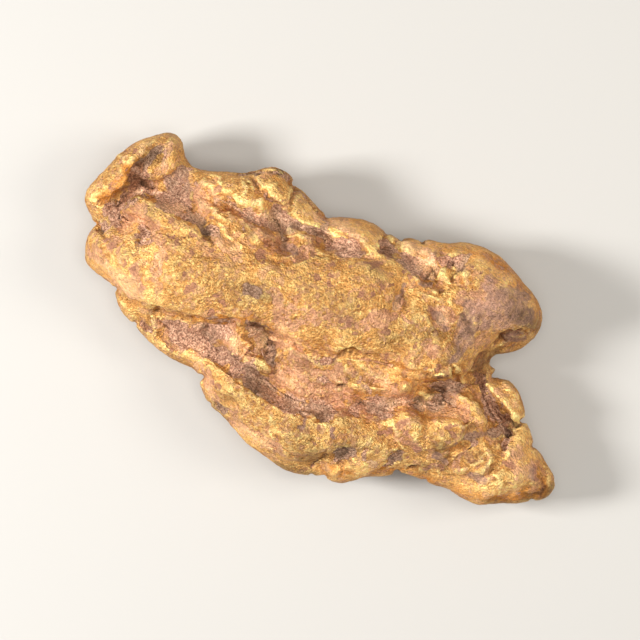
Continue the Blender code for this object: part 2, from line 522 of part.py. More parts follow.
def centre_on_ground(mesh):
    """Puts the bounding box's bottom centre at the origin, trues up the length and the width, and
    turns millimetres into metres."""
    points = np.empty(len(mesh.vertices) * 3)
    mesh.vertices.foreach_get("co", points)
    points = points.reshape(-1, 3)
    low, high = points.min(axis=0), points.max(axis=0)
    points -= ((low[0] + high[0]) / 2, (low[1] + high[1]) / 2, low[2])
    points *= (LENGTH / (high[0] - low[0]), WIDTH / (high[1] - low[1]), 1)
    mesh.vertices.foreach_set("co", (points * MM).ravel())
    mesh.update()


def main():
    clear_scene()
    make_nugget(collection("gold nugget"), collection("cutters"))


main()
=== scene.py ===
"""The gold nugget, dressed for its picture.

The solid nugget is covered with one fine skin that keeps its shape. Creases, rolls, pits and
rim cuts are worked into the skin by named strokes, and seeded noise adds the hammered grain.
Further strokes say where the coats lie on the gold: earth packed in the hollows, a thin salmon
film, a plum-brown film on the shoulder, the brown of the neck and small stains. Other strokes
paint light and shade into the colour: a deeper amber on sheltered gold, painted shadow in dark
cracks, and brighter and darker patches. One material shows them all.

Lengths are millimetres in the nugget's own frame: X from the flap to the toe, Y across, Z up.
"""

import math

import bpy
import numpy as np
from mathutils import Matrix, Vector, noise


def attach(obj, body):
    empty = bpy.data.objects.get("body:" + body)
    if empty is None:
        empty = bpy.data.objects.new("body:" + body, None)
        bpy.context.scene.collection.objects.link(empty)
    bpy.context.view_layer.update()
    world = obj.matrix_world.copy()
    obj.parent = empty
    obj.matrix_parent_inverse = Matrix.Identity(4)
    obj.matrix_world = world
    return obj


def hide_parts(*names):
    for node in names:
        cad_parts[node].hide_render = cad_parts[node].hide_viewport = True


MM = 0.001
SKIN_NET = 0.066  # side of the skin's squares
TOP_FROM = 1.3  # height above which the strokes of the upper face apply
TOP_FADE = 0.5  # height over which they come in

# Everything below is laid on the upper face as strokes: spines of (x, y, amount, half width).

# Narrow valleys where two folds of gold meet. The amount is a depth.
CREASES = {
    "flap inside": [
        (-6.62, 2.25, 0.08, 0.08), (-6.86, 1.75, 0.14, 0.09), (-6.92, 1.1, 0.16, 0.09),
        (-6.93, 0.5, 0.18, 0.09), (-7.05, -0.05, 0.15, 0.08), (-7.4, -0.3, 0.1, 0.06),
    ],
    "flap notch": [(-7.22, -0.72, 0.2, 0.07), (-6.95, -0.82, 0.2, 0.08), (-6.72, -0.92, 0.08, 0.06)],
    "brow top": [
        (-6.3, 0.72, 0.06, 0.07), (-5.6, 0.6, 0.12, 0.08), (-4.9, 0.66, 0.14, 0.08),
        (-4.45, 0.7, 0.22, 0.09), (-4.25, 0.58, 0.22, 0.09), (-3.95, 0.5, 0.12, 0.07),
    ],
    "brow foot": [(-5.6, -0.02, 0.04, 0.07), (-5, -0.02, 0.07, 0.07), (-4.4, 0, 0.03, 0.06)],
    "tongue top": [
        (-4.6, 1.42, 0.07, 0.06), (-4.1, 1.38, 0.14, 0.07), (-3.7, 1.36, 0.12, 0.07),
        (-3.42, 1.1, 0.07, 0.07),
    ],
    "tongue cap": [(-3.45, 1.48, 0.1, 0.06), (-3.1, 1.5, 0.12, 0.06), (-2.75, 1.48, 0.06, 0.06)],
    "tongue foot": [(-5, 1, 0.14, 0.08), (-4.6, 0.86, 0.16, 0.08), (-4.3, 0.8, 0.1, 0.07)],
    "lobe a foot": [
        (-3.9, 2.5, 0.12, 0.08), (-3.65, 2.35, 0.16, 0.08), (-3.3, 2.28, 0.18, 0.09),
        (-3.02, 2.2, 0.18, 0.09), (-3, 1.8, 0.2, 0.08),
    ],
    "lobe b side": [(-2.74, 2.95, 0.18, 0.08), (-2.68, 2.62, 0.1, 0.07), (-2.6, 2.35, 0.05, 0.06)],
    "lobe b foot": [(-2.8, 2.12, 0.12, 0.08), (-2.2, 2.08, 0.14, 0.08), (-1.7, 2.12, 0.12, 0.08)],
    "lobe c side": [(-1.58, 2.72, 0.16, 0.08), (-1.52, 2.4, 0.14, 0.08), (-1.48, 2.05, 0.12, 0.08)],
    "lobe c foot": [(-1.35, 2.32, 0.1, 0.07), (-0.85, 2.42, 0.12, 0.07), (-0.25, 2.38, 0.12, 0.07)],
    "lobe d side": [(0.15, 3.12, 0.16, 0.06), (0.12, 2.75, 0.14, 0.07), (0.3, 2.45, 0.1, 0.07)],
    "bead side": [(0.45, 3.15, 0.14, 0.05), (0.48, 2.9, 0.1, 0.05)],
    "upper ledge": [
        (-4.4, 2.42, 0.08, 0.05), (-3.9, 2.88, 0.1, 0.05), (-3.5, 3.06, 0.1, 0.05), (-3, 3.04, 0.1, 0.05),
        (-2.6, 2.84, 0.1, 0.05), (-2.1, 2.72, 0.1, 0.05), (-1.65, 2.62, 0.08, 0.05),
    ],
    "hump top": [
        (-2.6, 0.68, 0.1, 0.07), (-2.3, 0.84, 0.1, 0.07), (-1.9, 1, 0.12, 0.07), (-1.65, 1.3, 0.1, 0.07),
        (-1.4, 1.6, 0.14, 0.07), (-0.8, 1.74, 0.16, 0.08), (-0.4, 1.95, 0.12, 0.07),
        (0.1, 2.28, 0.08, 0.06),
    ],
    "block furrow": [(1.22, 2.08, 0.06, 0.12), (1.36, 1.62, 0.09, 0.13), (1.46, 1.3, 0.06, 0.11)],
    "block top": [(1.6, 2.2, 0.08, 0.06), (2.3, 2.34, 0.12, 0.06), (2.9, 2, 0.08, 0.06)],
    "knob ring": [(1.88, 3.1, 0.1, 0.07), (1.92, 2.8, 0.1, 0.07), (2.12, 2.58, 0.08, 0.07)],
    "knob side": [(2.38, 3.24, 0.1, 0.06), (2.34, 2.85, 0.08, 0.05)],
    "shoulder seam": [(3.08, 2.18, 0.12, 0.05), (3.3, 1.95, 0.16, 0.06), (3.52, 1.8, 0.1, 0.05)],
    "shoulder lip": [
        (4.2, 1.95, 0.16, 0.07), (4.55, 2.4, 0.22, 0.08), (4.85, 2.62, 0.2, 0.07), (5.1, 2.8, 0.1, 0.06),
    ],
    "hump foot left": [
        (-5.85, -2.14, 0.12, 0.07), (-5.2, -2.18, 0.16, 0.08), (-4.4, -2.02, 0.2, 0.08),
        (-3.6, -1.82, 0.22, 0.08), (-2.9, -1.6, 0.2, 0.08), (-2.4, -1.22, 0.18, 0.08),
        (-2.1, -0.98, 0.16, 0.08),
    ],
    "hump foot right": [
        (-0.9, -0.92, 0.1, 0.07), (-0.3, -0.98, 0.18, 0.07), (0.35, -0.88, 0.2, 0.07),
        (0.68, -0.62, 0.2, 0.07), (0.82, -0.36, 0.16, 0.07), (1.3, -0.2, 0.14, 0.06),
        (1.9, 0.02, 0.1, 0.06), (2.5, -0.04, 0.08, 0.06), (3.1, 0.26, 0.12, 0.06),
    ],
    "block end": [(3.2, 0.34, 0.14, 0.07), (3.42, 0.8, 0.1, 0.06), (3.8, 0.52, 0.14, 0.07)],
    "neck seam": [(4.15, 0.7, 0.16, 0.07), (4.05, 1.2, 0.12, 0.07), (4.2, 1.6, 0.1, 0.06)],
    "crescent inside": [
        (4.7, 0.72, 0.08, 0.07), (5.05, 0.5, 0.1, 0.08), (5.5, 0.34, 0.1, 0.08), (5.88, 0.22, 0.14, 0.06),
    ],
    "slit": [(6.1, 0.36, 0.18, 0.035), (5.93, 0.2, 0.2, 0.03)],
    "slit lobe inside": [(5.98, 0.05, 0.2, 0.06), (5.92, -0.35, 0.16, 0.07), (6.05, -0.62, 0.1, 0.06)],
    "tongue inside": [
        (4.2, 0.32, 0.12, 0.07), (4.75, 0.36, 0.14, 0.07), (5.25, 0.05, 0.14, 0.07),
        (5.42, -0.28, 0.12, 0.06),
    ],
    "tongue under": [(4.1, -0.05, 0.18, 0.07), (4.45, -0.22, 0.14, 0.06), (4.75, -0.32, 0.1, 0.06)],
    "right lump right": [
        (4.95, -0.42, 0.08, 0.07), (4.98, -0.8, 0.12, 0.08), (4.82, -1.2, 0.1, 0.07),
        (4.52, -1.52, 0.08, 0.07),
    ],
    "right lump left": [(3.85, -0.62, 0.05, 0.07), (3.82, -1.05, 0.06, 0.06), (4.02, -1.45, 0.06, 0.06)],
    "fold a": [(5.2, -0.85, 0.04, 0.04), (5.05, -1.15, 0.04, 0.04)],
    "fold b": [(5.5, -0.95, 0.05, 0.04), (5.35, -1.25, 0.05, 0.04)],
    "fold c": [(5.72, -0.98, 0.05, 0.04), (5.58, -1.3, 0.06, 0.04)],
    "fold d": [(5.94, -0.98, 0.06, 0.04), (5.92, -1.35, 0.06, 0.04)],
    "toe rim": [
        (7.15, -0.2, 0.04, 0.05), (7.42, -0.52, 0.08, 0.05), (7.56, -0.86, 0.1, 0.05),
        (7.48, -1.18, 0.1, 0.05), (7.2, -1.42, 0.06, 0.05),
    ],
    "right valley": [
        (3, -0.72, 0.08, 0.07), (2.62, -1.02, 0.1, 0.08), (2.65, -1.4, 0.1, 0.07),
        (2.2, -1.62, 0.12, 0.07), (1.55, -1.85, 0.12, 0.07), (1.35, -2.15, 0.14, 0.07),
        (1, -2.42, 0.12, 0.07),
    ],
    "lower ridge fold top": [
        (0.75, -2.4, 0.1, 0.07), (0.2, -2.55, 0.12, 0.07), (-0.6, -2.66, 0.14, 0.07),
        (-1.35, -2.58, 0.14, 0.07), (-2.1, -2.42, 0.12, 0.07), (-2.48, -2.7, 0.12, 0.07),
    ],
    "under edge": [
        (-1.7, -3.4, 0.18, 0.07), (-1, -3.46, 0.14, 0.06), (-0.4, -3.56, 0.14, 0.06),
        (0.3, -3.6, 0.12, 0.06), (0.9, -3.62, 0.1, 0.06), (1.4, -3.42, 0.1, 0.06),
    ],
    "crater knob ring": [
        (2.15, -2.72, 0.12, 0.06), (2.2, -3.1, 0.08, 0.06), (2.42, -3.28, 0.08, 0.06),
        (2.9, -3.22, 0.06, 0.05),
    ],
    "knob y ring": [(1.7, -3.15, 0.12, 0.06), (1.62, -3.55, 0.16, 0.07)],
    "bead furrow": [(3.48, -1.95, 0.14, 0.06), (3.42, -2.3, 0.16, 0.07), (3.4, -2.65, 0.12, 0.06)],
    "bead gaps": [(4, -2.32, 0.12, 0.05), (4.2, -2.2, 0.16, 0.06), (4.35, -2.05, 0.08, 0.05)],
    "bead gap right": [(4.58, -2.28, 0.12, 0.05), (4.62, -2.05, 0.08, 0.05)],
    "rim pocket": [(-4.72, -2.5, 0.14, 0.06), (-4.5, -2.52, 0.18, 0.07), (-4.45, -2.3, 0.1, 0.05)],
    "rim inside": [(-4.05, -2.62, 0.1, 0.05), (-3.4, -2.68, 0.12, 0.06), (-2.8, -2.56, 0.1, 0.05)],
    "island gaps": [(-1.62, -1.75, 0.12, 0.06), (-1.6, -2.1, 0.1, 0.06)],
    "little slit": [(1.12, -1.33, 0.3, 0.04), (1.22, -1.22, 0.3, 0.04)],
    "middle a": [(-0.7, -1.55, 0.08, 0.08), (0.2, -1.72, 0.12, 0.08), (0.95, -1.5, 0.1, 0.07)],
    "middle b": [(-0.4, -1.22, 0.06, 0.07), (0.4, -1.16, 0.1, 0.07), (0.95, -1.38, 0.08, 0.06)],
    "middle c": [(1.1, -0.55, 0.08, 0.07), (1.9, -0.75, 0.12, 0.08), (2.45, -0.62, 0.08, 0.07)],
    "block crack": [(2.74, 1.48, 0.04, 0.04), (2.63, 1.36, 0.07, 0.04), (2.6, 1.24, 0.04, 0.04)],
    "wrinkle ring": [(0.8, 1.12, 0.08, 0.04), (0.62, 0.92, 0.1, 0.04), (0.48, 0.76, 0.08, 0.04)],
    "toe wrinkle a": [(6.62, -1.3, 0.05, 0.05), (6.9, -1.52, 0.06, 0.05), (7, -1.62, 0.03, 0.05)],
    "toe wrinkle b": [(6.95, -0.95, 0.04, 0.05), (7.15, -1.2, 0.06, 0.05), (7.2, -1.35, 0.03, 0.05)],
    "toe wrinkle c": [(6.3, -1.62, 0.04, 0.05), (6.45, -1.85, 0.06, 0.05), (6.42, -2, 0.03, 0.05)],
}

# Low rolls and wrinkles of gold. The amount is a height.
ROLLS = {
    "flap lip": [(-7.62, -0.2, 0.06, 0.14), (-7.55, 0.5, 0.08, 0.16), (-7.38, 1.2, 0.06, 0.14)],
    "flap wrinkle": [(-7.45, 1.22, 0.04, 0.05), (-7.2, 1.15, 0.05, 0.05)],
    "ear wrinkle": [(-6.35, 1.95, 0.05, 0.06), (-6.3, 1.6, 0.05, 0.06)],
    "glint a": [(-4.12, 2.36, 0.09, 0.05), (-3.95, 2.15, 0.11, 0.06), (-3.88, 2.02, 0.08, 0.05)],
    "glint b": [(-4.15, 1.96, 0.08, 0.05), (-3.9, 1.86, 0.11, 0.06), (-3.5, 1.74, 0.09, 0.05)],
    "glint c": [(-3.55, 1.9, 0.07, 0.05), (-3.38, 2.02, 0.1, 0.05), (-3.26, 1.86, 0.09, 0.05)],
    "rim wrinkle a": [(-5, 2.02, 0.06, 0.06), (-4.6, 1.98, 0.08, 0.06)],
    "rim wrinkle b": [(-5.1, 1.78, 0.06, 0.06), (-4.8, 1.72, 0.08, 0.06), (-4.5, 1.62, 0.06, 0.06)],
    "tongue wrinkle": [(-4.85, 1.2, 0.07, 0.07), (-4.3, 1.22, 0.08, 0.07), (-3.8, 1.1, 0.07, 0.06)],
    "tongue toe": [(-4, 0.98, 0.05, 0.06), (-3.6, 0.8, 0.08, 0.06), (-3.2, 0.62, 0.06, 0.06)],
    "seam bridge": [(-2.25, 1.88, 0.14, 0.08), (-2.02, 1.76, 0.16, 0.09), (-1.65, 1.8, 0.14, 0.08)],
    "block edge": [(1.55, 1.65, 0.05, 0.07), (1.66, 1.3, 0.07, 0.08), (1.75, 0.95, 0.04, 0.07)],
    "block wrinkle": [(2.2, 1.55, 0.03, 0.07), (2.65, 1.35, 0.04, 0.07), (2.85, 1.05, 0.03, 0.07)],
    "wedge a": [(3.45, 0.72, 0.08, 0.06), (3.7, 0.52, 0.1, 0.06)],
    "wedge b": [(3.68, 0.88, 0.08, 0.06), (3.98, 0.6, 0.1, 0.06)],
    "slit rim": [(0.98, -1.22, 0.07, 0.05), (1.15, -1.12, 0.09, 0.05)],
    "stripe": [(0, -3.02, 0.05, 0.07), (0.2, -3.4, 0.06, 0.07)],
    "island a": [(-2.25, -1.55, 0.15, 0.2), (-1.95, -1.64, 0.2, 0.2), (-1.68, -1.76, 0.15, 0.15)],
    "island b": [(-1.42, -1.88, 0.12, 0.12), (-1.1, -1.82, 0.14, 0.12), (-0.92, -1.92, 0.08, 0.1)],
    "crescent bead": [(5.18, 1.05, 0.07, 0.12), (5.48, 0.98, 0.07, 0.12)],
    "bead": [(0.28, 3.05, 0.1, 0.1)],
    "blade": [(-4.4, -2.24, 0.12, 0.07), (-4.15, -2.42, 0.1, 0.06)],
    "right ridge a": [(2.7, -1.35, 0.05, 0.1), (3.2, -1.6, 0.08, 0.11), (3.5, -1.85, 0.05, 0.1)],
    "right ridge b": [(3, -1.05, 0.04, 0.1), (3.55, -1.2, 0.06, 0.11), (3.7, -1.5, 0.05, 0.1)],
    "fold crest a": [(5.4, -0.88, 0.015, 0.06), (5.2, -1.25, 0.015, 0.06)],
    "fold crest b": [(5.62, -0.92, 0.02, 0.05), (5.5, -1.3, 0.02, 0.05)],
    "fold crest c": [(5.84, -0.95, 0.035, 0.05), (5.8, -1.38, 0.035, 0.05)],
    "toe roll": [(6.3, -1.2, 0.04, 0.09), (6.38, -1.6, 0.06, 0.1), (6.25, -1.9, 0.05, 0.09)],
    "knob": [(2.04, 3.1, 0.12, 0.1), (2.1, 2.9, 0.18, 0.13), (2.24, 2.7, 0.14, 0.1)],
    "upper right ridge end": [(0.62, 3.04, 0.12, 0.14), (0.88, 2.96, 0.1, 0.14)],
}

# Hollows that earth has filled up. The amount is the height of the filling.
FILLS = {
    "amber pan": [(-2.85, 1.15, 0.22, 0.2), (-2.45, 1.25, 0.45, 0.26), (-2.1, 1.35, 0.45, 0.24)],
    "upper valley": [
        (-4.4, 1.6, 0.12, 0.25), (-3.3, 1.85, 0.35, 0.26), (-2.48, 1.62, 0.7, 0.28),
        (-1.6, 2, 0.42, 0.26),
    ],
    "tongue foot": [(-3.95, 0.7, 0.12, 0.18), (-3.6, 0.75, 0.28, 0.24), (-3.1, 0.7, 0.15, 0.2)],
    "hump foot": [(-0.6, -0.95, 0.14, 0.18), (0.1, -0.9, 0.24, 0.2), (0.6, -0.6, 0.14, 0.16)],
    "cavern": [(-1.9, -1.2, 0.32, 0.28), (-1.4, -1.38, 0.75, 0.32), (-1.08, -1.52, 0.45, 0.22)],
    "upper right": [
        (0.7, 2.85, 0.1, 0.2), (1.12, 2.9, 0.45, 0.26), (1.55, 2.84, 1, 0.3), (1.8, 2.62, 0.38, 0.17),
    ],
    "valley right": [(-1.3, 2.15, 0.12, 0.2), (-0.9, 2.15, 0.1, 0.2)],
    "lower cavity": [
        (-1.1, -2.28, 0.36, 0.2), (-0.8, -2.4, 0.3, 0.24), (-0.2, -2.4, 0.22, 0.24),
        (0.4, -2.3, 0.14, 0.2),
    ],
    "flap valley": [
        (-6.82, 1.6, 0.12, 0.16), (-6.62, 1.02, 0.3, 0.17), (-6.72, 0.7, 0.45, 0.2),
        (-6.72, 0.35, 0.5, 0.2), (-6.85, 0.05, 0.32, 0.18),
    ],
    "dark hollow": [
        (2.3, 0.05, 0.25, 0.24), (2.95, -0.05, 0.6, 0.32), (3.48, 0.06, 0.85, 0.35),
        (3.95, 0.08, 0.5, 0.25),
    ],
    "dark hollow foot": [(2.95, -0.45, 0.45, 0.28), (3.38, -0.52, 0.42, 0.28), (3.68, -0.62, 0.1, 0.2)],
    "right valley": [
        (1.6, -1.25, 0.5, 0.25), (1.9, -1.22, 0.6, 0.26), (2.3, -1.1, 0.5, 0.28), (2, -1.5, 0.4, 0.22),
    ],
    "knob side": [(2.5, 3.05, 0.28, 0.18), (2.6, 2.82, 0.42, 0.22), (2.8, 2.66, 0.16, 0.18)],
    "right lump": [(3.95, -0.58, 0.1, 0.22), (4.32, -0.42, 0.28, 0.2), (4.7, -0.38, 0.2, 0.14)],
    "crescent inside": [(4.9, 0.62, 0.15, 0.18), (5.3, 0.52, 0.36, 0.19), (5.72, 0.32, 0.26, 0.16)],
    "brow foot": [(-5.4, -0.08, 0.1, 0.16), (-4.6, -0.04, 0.1, 0.16)],
    "upper left": [(-5.85, 1.15, 0.22, 0.26), (-5.45, 1.05, 0.3, 0.28)],
    "left slot": [(-2.3, -2.26, 0.12, 0.2), (-1.9, -2.26, 0.38, 0.2), (-1.45, -2.26, 0.36, 0.2)],
    "fold valley": [(5.06, -1.3, 0.14, 0.13), (5, -1.65, 0.16, 0.14), (5.6, -1.6, 0.1, 0.12)],
    "slit": [(5.86, 0.36, 0.3, 0.16)],
}

# Notches in the outline, all the way down the side, as (x, y, depth, half width).
RIM_CUTS = {
    "lobe a end": (-2.86, 3.08, 0.12, 0.06),
    "lobe b end": (-1.6, 2.68, 0.06, 0.07),
    "bead left": (0.12, 3.16, 0.06, 0.06),
    "bead right": (0.58, 3.14, 0.12, 0.06),
    "ridge step": (1.1, 3.44, 0.1, 0.06),
    "above nub": (4.56, 1.52, 0.1, 0.09),
    "below nub": (4.78, 1.14, 0.1, 0.06),
    "nub": (4.67, 1.27, -0.08, 0.06),
    "crescent end": (6.13, 0.46, 0.24, 0.06),
    "toe start": (6.76, 0, 0.08, 0.07),
    "lower left": (-2.42, -3.04, 0.14, 0.08),
    "rim step a": (-4.82, -2.68, 0.08, 0.06),
    "rim step b": (-5.8, -2.1, 0.1, 0.06),
    "knob step": (2.03, -3.78, 0.08, 0.06),
    "bead step a": (3.78, -2.62, 0.12, 0.08),
    "bead step b": (4.58, -2.42, 0.07, 0.06),
    "toe step": (7.52, -1.42, 0.07, 0.06),
    "lip end": (-1.85, -3.62, 0.06, 0.06),
    "belly step": (1.72, -3.92, 0.06, 0.06),
    "flap notch": (-7.16, -0.78, 0.16, 0.08),
}

# Round pits, as (x, y, depth, half width).
PITS = {
    "pinhole": (5.87, -0.05, 0.45, 0.075),
    "round pit": (-2.12, 1.38, 0.16, 0.22),
    "flap pit a": (-6.94, 0.67, 0.16, 0.045),
    "flap pit b": (-7.04, 0.92, 0.06, 0.05),
    "hump pit": (-4.45, -0.57, 0.08, 0.05),
    "shoulder pit a": (3.87, 3.6, 0.08, 0.09),
    "shoulder pit b": (3.55, 2.35, 0.05, 0.08),
    "lower pit a": (-1.35, -2.77, 0.08, 0.06),
    "lower pit b": (-1.9, -3, 0.06, 0.06),
    "lower pit c": (1.2, -2.97, 0.06, 0.05),
    "lower pit d": (2.65, -2.47, 0.08, 0.06),
    "toe pit": (6.17, -1.38, 0.07, 0.05),
    "crater": (2.4, -3.45, 0.08, 0.07),
    "hollow spot a": (1.35, 3.1, 0.08, 0.07),
    "hollow spot b": (2.22, 2.45, 0.08, 0.06),
    "left eye": (-2.9, -1.85, 0.08, 0.12),
    "red nook": (-6.45, 0.93, 0.05, 0.1),
}

# Grainy earth packed in the hollows. From here on the amount is the coat's strength, 0 to 1.
EARTH = {
    "flap valley": [
        (-6.6, 2.05, 0.8, 0.06), (-6.64, 1.85, 0.9, 0.11), (-6.66, 1.6, 1, 0.15), (-6.76, 1.25, 1, 0.12),
        (-6.7, 0.8, 1, 0.15), (-6.68, 0.4, 1, 0.17), (-6.78, 0, 1, 0.22), (-7.1, -0.2, 1, 0.14),
        (-6.7, -0.42, 0.9, 0.26), (-6.88, -0.68, 0.9, 0.17),
    ],
    "ear hollow": [(-6.46, 2.12, 0.6, 0.06), (-6.36, 1.8, 0.8, 0.08)],
    "red nook": [(-6.6, 0.93, 1, 0.16), (-6.3, 0.9, 1, 0.16), (-6.45, 0.7, 0.9, 0.14)],
    "upper left": [
        (-6, 1.3, 0.9, 0.16), (-5.6, 1.15, 1, 0.4), (-5.3, 0.95, 1, 0.3), (-5.75, 0.7, 0.9, 0.26),
    ],
    "upper left notch": [(-5.82, 1.78, 0.9, 0.09), (-5.6, 1.92, 0.7, 0.07)],
    "rim spots": [(-5.28, 1.72, 0.8, 0.08), (-5.12, 1.6, 0.5, 0.08)],
    "brow valley": [
        (-5, 0.84, 1, 0.14), (-4.7, 0.76, 1, 0.11), (-4.35, 0.66, 1, 0.12), (-4.05, 0.74, 1, 0.14),
        (-3.8, 0.72, 0.7, 0.08),
    ],
    "upper valley": [
        (-4.45, 1.52, 0.8, 0.08), (-4.15, 1.62, 1, 0.16), (-3.7, 1.6, 1, 0.16), (-3.3, 1.62, 1, 0.14),
        (-2.85, 1.78, 1, 0.24), (-2.5, 1.85, 1, 0.26), (-2.35, 1.62, 1, 0.14),
    ],
    "valley side": [(-3.6, 1.4, 0.9, 0.08), (-3.46, 1.15, 0.7, 0.05)],
    "valley top": [
        (-2.9, 2.12, 1, 0.08), (-2.3, 2.05, 0.9, 0.1), (-1.95, 2.05, 1, 0.1), (-1.6, 2.12, 1, 0.12),
    ],
    "lobe a ring": [(-3.82, 2.5, 0.8, 0.08), (-3.66, 2.34, 0.9, 0.08)],
    "lobe a spot": [(-3.3, 2.27, 1, 0.09), (-3.1, 2.22, 0.9, 0.08)],
    "pit tail": [(-1.85, 1.12, 0.9, 0.08), (-1.74, 1.08, 0.8, 0.07)],
    "valley right": [
        (-1.58, 2.6, 0.7, 0.06), (-1.46, 2.15, 1, 0.12), (-1.1, 2.05, 1, 0.22), (-0.7, 2.1, 1, 0.24),
        (-0.3, 2.22, 0.9, 0.14),
    ],
    "upper gap": [(0.12, 2.92, 0.9, 0.12), (0.3, 2.72, 1, 0.14), (0.6, 2.66, 0.9, 0.14)],
    "upper right": [
        (0.85, 2.66, 0.8, 0.16), (1.15, 2.72, 1, 0.27), (1.55, 2.72, 1, 0.37), (1.88, 2.55, 1, 0.2),
        (1.5, 3.1, 0.9, 0.2),
    ],
    "upper right arm": [(1.95, 3.25, 0.9, 0.16), (2.25, 3.35, 1, 0.18), (2.4, 3.7, 0.9, 0.1)],
    "knob side": [(2.38, 3.24, 0.9, 0.08), (2.36, 2.92, 0.8, 0.06)],
    "dark hollow": [
        (3.3, 0.05, 0.9, 0.12), (3.45, 0.15, 1, 0.18), (3.75, 0.28, 1, 0.2), (4, 0.4, 0.9, 0.12),
        (3.8, 0, 1, 0.22), (4.1, -0.18, 1, 0.16), (3.75, -0.3, 1, 0.2),
    ],
    "dark hollow foot": [
        (3.12, -0.58, 1, 0.16), (3.35, -0.68, 1, 0.18), (3.62, -0.48, 1, 0.2), (3.88, -0.4, 0.9, 0.14),
        (4.08, -0.28, 0.8, 0.1),
    ],
    "neck right": [
        (4.4, 0.85, 0.8, 0.16), (4.75, 0.55, 0.9, 0.12), (5.1, 0.3, 1, 0.15), (5.5, 0.12, 1, 0.18),
        (5.65, -0.05, 1, 0.18), (5.5, -0.28, 0.9, 0.12),
    ],
    "slit side": [(5.98, -0.2, 0.8, 0.08), (6.05, -0.48, 0.7, 0.08)],
    "toe gully": [(4.95, -0.72, 0.8, 0.12), (5.2, -0.78, 0.8, 0.08), (5.1, -1.1, 0.6, 0.08)],
    "right valley": [
        (2.95, -0.78, 0.9, 0.12), (2.6, -1, 1, 0.26), (2.25, -1.3, 1, 0.34), (1.85, -1.5, 1, 0.2),
    ],
    "deep notch": [(1.45, -1.98, 0.7, 0.14), (1.12, -2.12, 1, 0.24), (0.8, -2.06, 1, 0.16)],
    "left of notch": [(0.6, -2.25, 0.8, 0.18), (0.22, -2.35, 1, 0.27), (-0.15, -2.42, 0.9, 0.2)],
    "lower cavity": [
        (-0.45, -2.42, 1, 0.26), (-0.9, -2.32, 1, 0.31), (-1.35, -2.2, 1, 0.25), (-1.7, -2.3, 1, 0.22),
    ],
    "cavern": [
        (-2, -1, 0.8, 0.12), (-1.7, -1.05, 1, 0.22), (-1.4, -1.22, 1, 0.3), (-1.2, -1.45, 1, 0.28),
        (-1, -1.62, 1, 0.12),
    ],
    "left hollow": [
        (-4.05, -2.2, 0.9, 0.16), (-3.6, -2.2, 1, 0.3), (-3.1, -2.1, 1, 0.36), (-2.75, -1.8, 1, 0.34),
        (-2.5, -1.55, 1, 0.26),
    ],
    "left hollow foot": [
        (-3.2, -2.4, 1, 0.2), (-2.6, -2.25, 1, 0.28), (-2.1, -2.15, 1, 0.24), (-1.75, -2.1, 0.9, 0.18),
    ],
    "hump stain": [(-2.5, -0.22, 1, 0.16), (-2.2, -0.2, 1, 0.14)],
    "brow stain": [(-5.85, -0.25, 0.9, 0.18), (-5.6, -0.32, 0.9, 0.16), (-5.8, -0.62, 0.7, 0.07)],
    "middle streaks": [(0.55, -1.32, 0.7, 0.08), (0.85, -1.42, 0.6, 0.06)],
    "middle top": [(1.2, -0.42, 0.5, 0.08), (1.6, -0.9, 0.6, 0.1), (1.95, -0.95, 0.6, 0.1)],
    "middle stain": [(0.15, -1, 0.7, 0.1), (0.45, -0.9, 0.8, 0.1), (0.66, -0.7, 0.8, 0.08)],
    "lip": [(-1.62, -3.42, 0.9, 0.1), (-1.38, -3.52, 0.9, 0.1)],
    "knob furrow": [(2.35, -2.72, 0.8, 0.1), (2.1, -2.9, 1, 0.12), (1.98, -3.1, 0.8, 0.08)],
    "knob top": [(2.75, -2.72, 0.8, 0.12), (3.1, -2.72, 0.8, 0.12)],
    "bead furrow": [(3.55, -2, 0.8, 0.08), (3.45, -2.3, 0.9, 0.09), (3.42, -2.6, 0.8, 0.08)],
    "lower gully": [(1.62, -3.4, 0.7, 0.09), (1.56, -3.7, 0.7, 0.08)],
    "rim pocket": [(-4.6, -2.52, 0.9, 0.12), (-4.3, -2.62, 0.8, 0.07)],
    "under ledge": [
        (-4.4, 2.48, 0.5, 0.06), (-4, 2.78, 0.9, 0.08), (-3.5, 3.12, 0.5, 0.06), (-3, 3.1, 0.5, 0.06),
        (-2.5, 2.9, 0.6, 0.06), (-1.9, 2.74, 0.5, 0.05),
    ],
    "crescent inside": [(4.95, 0.48, 0.8, 0.08), (5.3, 0.3, 1, 0.14), (5.65, 0.15, 1, 0.15)],
    "block pocket": [(4.72, -1.08, 0.7, 0.08)],
    "lump top": [(4.22, -0.2, 0.9, 0.12), (4.42, -0.22, 0.6, 0.08)],
}

